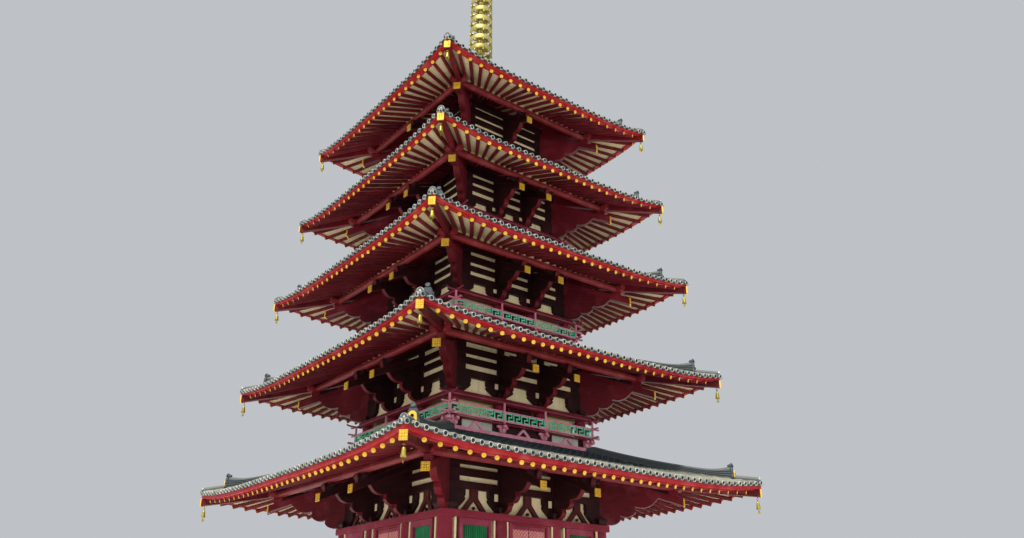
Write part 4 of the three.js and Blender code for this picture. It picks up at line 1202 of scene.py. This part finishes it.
def buildGroundFrame():
    heap = Heap()
    wall, inner, radius, base = ground["wall"], ground["inner"], ground["radius"], ground["base"]
    headBeam(heap, ground, columnPaint)
    for y in (-inner, inner):
        roundColumn(heap, wall, y, base + 0.06, groundTop + 0.02, radius)
    roundColumn(heap, wall, wall, base + 0.06, groundTop + 0.02, radius)
    deep, jamb, cut = groundFrame["deep"], groundFrame["jamb"], 0.014
    a, b, low, top = wall - deep / 2, wall + deep / 2, base + 0.002, base + groundFrame["sillHigh"]
    heap.band([(a + cut, low), (b - cut, low), (b, low + cut), (b, top - cut), (b - cut, top),
               (a + cut, top), (a, top - cut), (a, low + cut)], columnPaint)
    heap.rail(wall, -inner, inner, (doorway["top"] + groundTop) / 2, deep,
              groundTop - doorway["top"] + 0.01, columnPaint, 0.014)
    for sign in (-1, 1):
        # the door's jamb with its rose edge, and narrow plaster strips beside the columns
        y = sign * (doorway["half"] + jamb / 2)
        heap.beam((wall, y, top - 0.01), (wall, y, groundTop), deep, jamb, columnPaint, 0.016, above=north)
        heap.post(wall + 0.15, sign * 0.90, top - 0.01, groundTop, 0.11, 0.06, framePaint, 0.012)
        for strip, wide in groundFrame["strips"]:
            heap.post(wall + 0.16, sign * strip, top, groundTop, wide, 0.06, plaster, 0.006)
        z = window["low"] - groundFrame["railDown"]
        heap.rail(wall + 0.02, sign * (inner + 0.1), sign * (wall - 0.1), z, 0.22, 0.16, columnPaint, 0.012)
    heap.make("storey1_timber", stands=("storey1_frame",), slot="red_timber")


def buildWindows():
    # a rose frame round upright bars that fill the opening almost flush with it
    heap = Heap()
    wall, half, low, top = ground["wall"], window["half"], window["low"], window["top"]
    x = wall + 0.11
    for centre in (-window["centre"], window["centre"]):
        for sign, wide in window["stiles"]:
            y = centre + sign * (half + wide / 2)
            heap.post(x, y, low - 0.16, groundTop, wide, 0.20, framePaint, 0.014)
        for z, high in ((low - 0.09, 0.18), ((top + groundTop) / 2, groundTop - top)):
            heap.rail(x - 0.006, centre - half - 0.01, centre + half + 0.01, z, 0.19, high, framePaint,
                      0.012)
        for i in range(window["bars"]):
            y = centre - half + (i + 0.5) * 2 * half / window["bars"]
            heap.rod([(wall + 0.08, y, low - 0.01), (wall + 0.08, y, top + 0.01)], window["bar"],
                     greenPaint, 4)
        # the sheet behind the bars in deep green: painted shade
        heap.rail(wall + 0.03, centre - half - 0.02, centre + half + 0.02, (low + top) / 2, 0.03,
                  top - low + 0.04, shadePaint, 0.004)
    heap.make("window_bars", slot="red_timber")


def plankLeaf(heap, x, y0, y1, low, top):
    # upright planks, rails across them and a lattice of thin slanting battens in between
    span, margin = y1 - y0, leafWork["margin"]
    wide = span / leafWork["planks"]
    for i in range(leafWork["planks"]):
        y = y0 + (i + 0.5) * wide
        heap.post(x, y, low, top, wide - 0.005, leafWork["thick"] - 0.018, doorPaint, 0.006)
    rails = [low + 0.10, low + 1.40, top - 1.45, top - 0.07]
    for side in (-1, 1):
        face = x + side * (leafWork["thick"] / 2 - 0.008)
        for z in rails:
            heap.rail(face, y0 + 0.01, y1 - 0.01, z, 0.014, leafWork["rail"], framePaint, 0.004)
        for a, b in zip(rails[:-1], rails[1:]):
            for start in np.arange(a + margin - span, b - margin, leafWork["pitch"]):
                # cut off where the batten meets the rails
                s0, s1 = max(0.0, a + margin - start), min(span, b - margin - start)
                if s1 - s0 < 0.05:
                    continue
                for flip, thick in ((False, 0.012), (True, 0.010)):
                    ends = [((y1 - s) if flip else (y0 + s), start + s) for s in (s0 + 0.012, s1 - 0.012)]
                    heap.beam((face, *ends[0]), (face, *ends[1]), thick, leafWork["batten"], lacePaint,
                              0.003, above=north)


def buildDoors():
    # the east pair is made in place; a quarter turn back gives the south pair
    low, top, x = doorway["sill"] + doorway["play"], doorway["top"] - doorway["play"], doorway["axis"]
    quarter = {"east": (1, 0, 0, 1), "north": (0, -1, 1, 0), "west": (-1, 0, 0, -1), "south": (0, 1, -1, 0)}
    for side, (a, b, c, d) in quarter.items():
        heaps = {}
        for hand, sign in (("right", 1), ("left", -1)):
            heap = heaps.setdefault(hand if side in ("east", "south") else "pair", Heap())
            edge = doorway["gap" if side in ("east", "south") else "shutGap"] * sign
            hinge = doorway["hinge"] * sign
            plankLeaf(heap, x, min(edge, hinge), max(edge, hinge), low, top)
            heap.rod([(x, hinge, low), (x, hinge, top)], doorway["hangingPost"], doorPaint, 16)
            for z in (doorway["sill"] + 0.001, top - 0.002):
                heap.rod([(x, hinge, z), (x, hinge, z + 0.012)], doorway["pin"], darkIron, 12)
        for hand, heap in heaps.items():
            for i, part in enumerate(heap.parts):
                px, py, pz = part[0].T
                heap.parts[i] = (np.stack([a * px + b * py, c * px + d * py, pz], 1),) + part[1:]
            if hand == "pair":
                heap.make(f"doors_{side}_planks", 1, stands=(f"doors_{side}",), slot="pale_timber")
            else:
                heap.make(f"door_{side}_{hand}_planks", 1, f"leaf_{side}_{hand}", (f"door_{side}_{hand}",),
                          "pale_timber")


# podium, paving and stairs

podium = {"half": 5.70, "high": 1.25, "foot": 5.86, "footHigh": 0.22, "footDeep": 0.45, "footStone": 1.5,
          "coping": 5.80, "copingHigh": 0.23, "copingDeep": 0.70, "copingStone": 1.35, "slabs": 8,
          "post": 0.17, "pavingRows": 6}
stairs = {"risers": 7, "tread": 0.30, "wide": 2.60, "cheek": 0.34, "lap": 0.10, "jointShift": 0.16}


def stoneCourse(heap, outer, deep, low, top, length):
    # one course of squared stones along a side, with open joints
    count = max(1, round(2 * outer / length))
    edges = np.linspace(-outer, outer - deep, count + 1)
    for y0, y1 in zip(edges[:-1], edges[1:]):
        x = outer + 0.008 - deep / 2 - float(dice.uniform(0, 0.004))
        heap.rail(x, y0 + 0.004, y1 - 0.004, (low + top) / 2, deep, top - low - 0.004, granite, 0.012)


def cutAway(outline, side):
    # what is left of a slab's outline within this quarter of the plan, a joint's width from its diagonal
    kept = []
    room = [x - side * y - 0.005 for x, y in outline]
    for i, (x, y) in enumerate(outline):
        (toX, toY), here, there = outline[(i + 1) % len(outline)], room[i], room[(i + 1) % len(outline)]
        if here >= 0:
            kept.append((x, y))
        if here * there < 0:
            share = here / (here - there)
            kept.append((x + (toX - x) * share, y + (toY - y) * share))
    return [p for i, p in enumerate(kept) if math.dist(p, kept[i - 1]) > 0.012]


def buildPodium():
    heap = Heap()
    half, high = podium["half"], podium["high"]
    stoneCourse(heap, podium["foot"], podium["footDeep"], 0.006, podium["footHigh"] + 0.004,
                podium["footStone"])
    stoneCourse(heap, podium["coping"], podium["copingDeep"], high - podium["copingHigh"] - 0.004,
                high + 0.006, podium["copingStone"])
    # facing slabs with narrow posts between them
    low, top = podium["footHigh"], high - podium["copingHigh"]
    count, post = podium["slabs"], podium["post"]
    edges = np.linspace(-half, half, count + 1)
    for i, (y0, y1) in enumerate(zip(edges[:-1], edges[1:])):
        y1 = y1 - (0.062 if i == count - 1 else 0)  # the corner post stands inside the corner
        heap.rail(half - 0.055, y0 + 0.086, y1 - 0.086, (low + top) / 2, 0.12, top - low - 0.004, granite,
                  0.008)
    for y in edges[1:-1]:
        heap.post(half - 0.06, y, low, top, post, post - 0.01, granite, 0.012)
    corner = (half - 0.06, half - 0.06)
    heap.beam((*corner, low), (*corner, top), post, post, granite, 0.012, above=east)
    # paving slabs inside the coping
    inner, rows, joint = podium["coping"] - podium["copingDeep"], podium["pavingRows"], 0.003
    size = inner / rows
    for i in range(rows):
        for j in range(-rows, rows + 1):
            x0, y0 = i * size, (j - 1) * size + (size / 2 if i % 2 else 0)
            y1 = min(y0 + size, inner)
            a, b, c, d = x0 + joint, x0 + size - joint, y0 + joint, y1 - joint
            slab = cutAway(cutAway([(a, c), (b, c), (b, d), (a, d)], 1), -1)
            if len(slab) > 2 and y1 - y0 > 0.05:
                heap.plate(slab, (0, 0, high - 0.0545), east, north, 0.115, granite, 0.004)
    # round base stones under the columns
    r = ground["radius"]
    baseStone = [(r + 0.20, 0.0), (r + 0.20, 0.01), (r + 0.16, 0.03), (r + 0.08, 0.045), (r + 0.05, 0.07),
                 (r - 0.02, 0.075)]
    for y in (-ground["inner"], ground["inner"], ground["wall"]):
        heap.turned(baseStone, (ground["wall"], y, high - 0.002), granite, up, 28)
    heap.make("podium_stones", slot="granite")


def buildStairs():
    heap = Heap()
    risers, tread, wide, cheek = stairs["risers"], stairs["tread"], stairs["wide"], stairs["cheek"]
    riser, back = podium["high"] / risers, podium["foot"] + 0.0003
    for i in range(1, risers):
        top = riser * (risers - i)
        x1, x0 = back + tread * i, back + tread * (i - 1) - (stairs["lap"] if i > 1 else 0)
        joint = stairs["jointShift"] * (1 if i % 2 else -1)
        x0 = max(x0, back)
        for a, b in ((-(wide - 2 * cheek) / 2, joint), (joint, (wide - 2 * cheek) / 2)):
            heap.rail((x0 + x1) / 2, a + 0.003, b - 0.003, top - riser / 2, x1 - x0, riser, granite, 0.012)
    run = back + tread * (risers - 1)
    # solid stone behind the treads, and sloping cheeks
    fill = [(back, 0.0), (run - 0.14, 0.0), (back + 0.16, podium["high"] - 1.35 * riser),
            (back, podium["high"] - 1.35 * riser)]
    heap.plate(fill, (0, 0, 0), east, up, wide - 2 * cheek - 0.01, granite, 0.01)
    slope = [(back, 0.0), (run + 0.26, 0.0), (run + 0.26, 0.15), (back, podium["high"] - 0.02)]
    for sign in (-1, 1):
        heap.plate(slope, (0, sign * (wide - cheek) / 2, 0), east, up, cheek, granite, 0.016, grain=east)
        end = [(run + 0.10, 0.0), (run + 0.262, 0.0), (run + 0.262, 0.17), (run + 0.10, 0.262)]
        heap.plate(end, (0, sign * (wide - cheek) / 2, 0), east, up, cheek + 0.002, granite, 0.016)
    heap.make("stair_stones", stands=("stair_east", "stair_north", "stair_west", "stair_south"),
              slot="granite")


# finial

def ringHeight(i):
    return finial["firstRing"] + finial["pitch"] * i


def outAndSide(turn):  # away from the mast at this angle, and square to it
    return np.array([math.cos(turn), math.sin(turn), 0.0]), np.array([-math.sin(turn), math.cos(turn), 0.0])


def dewBasin(base, work):
    # a square box with mouldings and panelled sides, then an upturned bowl and a lotus
    bottom, half = finial["bottom"], finial["half"]
    box = [(half, 0.0), (half, 0.10), (half - 0.02, 0.12), (half - 0.07, 0.13), (half - 0.08, 0.16),
           (half - 0.08, 0.80), (half - 0.06, 0.82), (half - 0.01, 0.83), (half, 0.85), (half, 0.94),
           (half - 0.02, 0.95), (0.55, 0.955)]
    base.turned(box, (0, 0, bottom), finialGold, up, square=True)
    top = bottom + finial["basin"]
    bowl = [(0.64, -0.01), (0.645, 0.03), (0.635, 0.12), (0.60, 0.25), (0.53, 0.38), (0.43, 0.49),
            (0.34, 0.56), (0.33, 0.58), (0.35, 0.60), (0.35, 0.63), (0.31, 0.66), (0.31, 0.69),
            (0.42, 0.72), (0.56, 0.78), (0.66, 0.86), (0.69, 0.93), (0.66, 0.94), (0.45, 0.88),
            (0.13, 0.86)]
    base.turned(bowl, (0, 0, top), finialGold, up, 40)
    petal = [(0.0, -0.30), (0.09, -0.24), (0.125, -0.10), (0.11, 0.02), (0.05, 0.12), (0.0, 0.16),
             (-0.05, 0.12), (-0.11, 0.02), (-0.125, -0.10), (-0.09, -0.24)]
    for k in range(4):
        turn = math.radians(22.5 * k - 45 + 11.25)
        out, side = outAndSide(turn)
        lean = up * 0.80 + out * 0.60
        work.plate(petal, np.array([0, 0, top + 0.84]) + out * 0.60, side, lean / np.linalg.norm(lean),
                   0.05, finialGold, 0.016)
    panel = shrink([(-0.52, 0.20), (0.52, 0.20), (0.52, 0.76), (-0.52, 0.76)], 0.05)
    work.plate(panel, (half - 0.085, 0, bottom), north, up, 0.04, finialGold, 0.015)


def mastRing(work, i):
    # a quarter of one ring: a tall band, two spokes, two curls between them and two small bells
    z = ringHeight(i)
    r = finial["radius"] + (finial["topRadius"] - finial["radius"]) * i / (finial["count"] - 1)
    band = [(r - 0.06, -0.13), (r - 0.02, -0.15), (r - 0.004, -0.13), (r, -0.09), (r - 0.004, 0.08),
            (r - 0.02, 0.13), (r - 0.05, 0.15), (r - 0.075, 0.13), (r - 0.08, 0.0)]
    turns = -np.linspace(0, math.pi / 2, 13)[::-1]
    work.sweep([[(math.cos(a) * q, math.sin(a) * q, z + h) for q, h in band[::-1]] for a in turns],
               finialGold, up, caps=False)
    spoke = [(0.15, -0.02), (r - 0.08, -0.03), (r - 0.08, 0.03), (0.15, 0.02)]
    curl = [(0.26, -0.018)] + curve((0.28, -0.02), (r - 0.12, -0.02), 0.35, 6) + [(r - 0.10, -0.015)] + \
        [(x, y + 0.03) for x, y in reversed(curve((0.28, -0.02), (r - 0.12, -0.02), 0.30, 6))]
    bellShape = [(0.0, -0.20), (0.05, -0.195), (0.052, -0.18), (0.040, -0.12), (0.030, -0.075),
                 (0.010, -0.055), (0.0, -0.053)]
    for turn in (0, 45):
        out, side = outAndSide(math.radians(turn))
        work.plate(spoke, (0, 0, z), out, up, 0.035, finialGold, 0.006)
        work.plate(curl, (0, 0, z - 0.012), out, side, 0.022, finialGold, 0.004)
        b = math.radians(turn + 22.5)
        bell = np.array([math.cos(b) * (r - 0.02), math.sin(b) * (r - 0.02), z - 0.07])
        work.rod([bell + up * 0.02, bell - up * 0.06], 0.006, darkIron, 6)
        work.turned(bellShape, bell, finialGold, up, 10)


def mastAndJewels(mast, work):
    # the mast with a hub in every ring, four openwork wings of water flame round it, and the jewels on top
    thin, start = finial["mast"], ringHeight(finial["count"]) - 0.15
    profile = [(thin, finial["firstRing"] - 1.0)]
    for i in range(finial["count"]):
        hub = ((thin, -0.20), (0.19, -0.17), (0.215, -0.10), (0.215, 0.10), (0.19, 0.17), (thin, 0.20))
        profile += [(r, ringHeight(i) + h) for r, h in hub]
    mast.turned(profile + [(thin, start)], (0, 0, 0), finialGold, up, 24)
    for tongue in flameTongues():
        work.plate(tongue, (0, 0, start), east, up, 0.036, finialGold, 0.008)
    mast.turned([(0.10, 0.0), (0.10, finial["flame"])], (0, 0, start), finialGold, up, 20)
    jewelStart = start + finial["flame"]
    high = finial["top"] - jewelStart
    jewel = [(0.09, 0.0), (0.09, 0.18), (0.14, 0.20), (0.16, 0.22), (0.235, 0.27), (0.285, 0.35),
             (0.30, 0.44), (0.285, 0.53), (0.235, 0.61), (0.16, 0.66), (0.11, 0.68), (0.085, 0.72),
             (0.08, 0.95)]
    jewel += [(0.10, high - 0.89), (0.20, high - 0.86), (0.29, high - 0.77), (0.325, high - 0.66),
              (0.33, high - 0.56), (0.30, high - 0.44), (0.245, high - 0.33), (0.16, high - 0.22),
              (0.09, high - 0.13), (0.04, high - 0.06), (0.0, high)]
    mast.turned(jewel, (0, 0, jewelStart), finialGold, up, 36)


def buildFinial():
    base, work, mast = Heap(), Heap(), Heap()
    dewBasin(base, work)
    for i in range(finial["count"]):
        mastRing(work, i)
    mastAndJewels(mast, work)
    base.make("finial_base", 1, stands=("finial_basin",), slot="gilt")
    work.make("finial_work", 4, stands=("finial_rings", "finial_flame"), slot="gilt")
    mast.make("finial_mast", 1, stands=("finial_jewels",), slot="gilt")


def flameTongues():
    # one wing: an outer border and curling tongues joined to it
    tongues = []
    border = curve((0.10, 0.15), (0.62, 0.42), 0.18, 5) + curve((0.74, 0.55), (0.50, 0.98), -0.10, 5)
    border += curve((0.74, 1.12), (0.40, 1.46), -0.06, 5) + curve((0.58, 1.62), (0.22, 1.96), -0.05, 5)
    border += [(0.10, 2.20)]
    inner = [(x * 0.80 - 0.01, z * 0.985 + 0.03) for x, z in border]
    inner[0] = (0.10, 0.26)
    tongues.append(border + inner[::-1])
    for low, high, out in ((0.34, 0.86, 0.50), (0.92, 1.36, 0.46), (1.42, 1.84, 0.34)):
        tongue = curve((0.09, low), (out, high - 0.10), 0.22, 6) + [(out - 0.02, high)] + \
            [(x - 0.03, z + 0.075) for x, z in reversed(curve((0.09, low), (out, high - 0.10), 0.20, 6))]
        tongues.append(tongue)
    return tongues


# the frame's plaster walls and podium core keep their shape and get a finish

def finishWalls():
    for name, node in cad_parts.items():
        finish = plaster if "wall" in name else jointMortar if name == "podium" else None
        if finish:
            node.data.materials.clear()
            node.data.materials.append(finish)


# floor, light and camera

stage = {"size": 600, "under": 0.002, "floor": (0.80, 0.79, 0.77, 1), "floorRough": 0.9,
         "sky": (0.86, 0.90, 0.95, 1), "skyStrength": 0.60}
lamps = {"key": {"energy": 4.3, "colour": (1.0, 0.95, 0.88), "angle": 3, "from": (0.34, -0.52, 0.85)},
         "fill": {"energy": 0.3, "colour": (0.92, 0.95, 1.0), "angle": 40, "from": (1.0, 0.0, 0.25)}}
# focal length and frame in the same unit, roll in radians
camera = {"place": (28.745, -20.316, 1.6), "yaw": 142.05664, "pitch": 23.992138, "roll": 0.003025,
          "sensor": 36, "focal": 841.7613, "frameWide": 1024}


def buildStage():
    bpy.ops.mesh.primitive_plane_add(size=stage["size"], location=(0, 0, -stage["under"]))
    floor = bpy.context.object
    floor.name = "floor"
    made = bpy.data.materials.new("pale_floor")
    made.use_nodes = True
    shader = made.node_tree.nodes["Principled BSDF"]
    shader.inputs["Base Color"].default_value = stage["floor"]
    shader.inputs["Roughness"].default_value = stage["floorRough"]
    floor.data.materials.append(made)
    world = bpy.data.worlds.new("studio")
    bpy.context.scene.world = world
    world.use_nodes = True
    background = world.node_tree.nodes["Background"]
    background.inputs["Color"].default_value = stage["sky"]
    background.inputs["Strength"].default_value = stage["skyStrength"]
    view = bpy.context.scene.view_settings
    view.view_transform, view.look = "Standard", "None"
    for name, look in lamps.items():
        lamp = bpy.data.lights.new(name, "SUN")
        lamp.energy, lamp.color, lamp.angle = look["energy"], look["colour"], math.radians(look["angle"])
        holder = bpy.data.objects.new(name, lamp)
        bpy.context.scene.collection.objects.link(holder)
        holder.rotation_mode = "QUATERNION"
        holder.rotation_quaternion = Vector(look["from"]).to_track_quat("Z", "Y")


def buildCamera():
    yaw, pitch, roll = math.radians(camera["yaw"]), math.radians(camera["pitch"]), camera["roll"]
    ahead = np.array([math.cos(pitch) * math.cos(yaw), math.cos(pitch) * math.sin(yaw), math.sin(pitch)])
    right = np.array([math.sin(yaw), -math.cos(yaw), 0.0])
    above = np.cross(right, ahead)
    turnedRight = math.cos(roll) * right + math.sin(roll) * above
    turnedUp = -math.sin(roll) * right + math.cos(roll) * above
    lens = bpy.data.cameras.new("camera")
    lens.sensor_width = camera["sensor"]
    lens.lens = camera["sensor"] * camera["focal"] / camera["frameWide"]
    lens.clip_start, lens.clip_end = 0.5, 1000
    holder = bpy.data.objects.new("camera", lens)
    bpy.context.scene.collection.objects.link(holder)
    turn = Matrix([[turnedRight[i], turnedUp[i], -ahead[i], 0] for i in range(3)] + [[0, 0, 0, 1]])
    holder.matrix_world = Matrix.Translation(camera["place"]) @ turn
    bpy.context.scene.camera = holder


buildCamera()
buildStage()
finishWalls()
buildPodium()
buildStairs()
buildGroundFrame()
buildWindows()
buildDoors()
for level in range(len(storeys)):
    if level:
        buildBalcony(level)
        buildRailing(level)
        buildUpperFrame(level)
    buildBrackets(level)
    buildEaves(level)
    buildRoof(level)
buildFinial()
print("all pieces made")
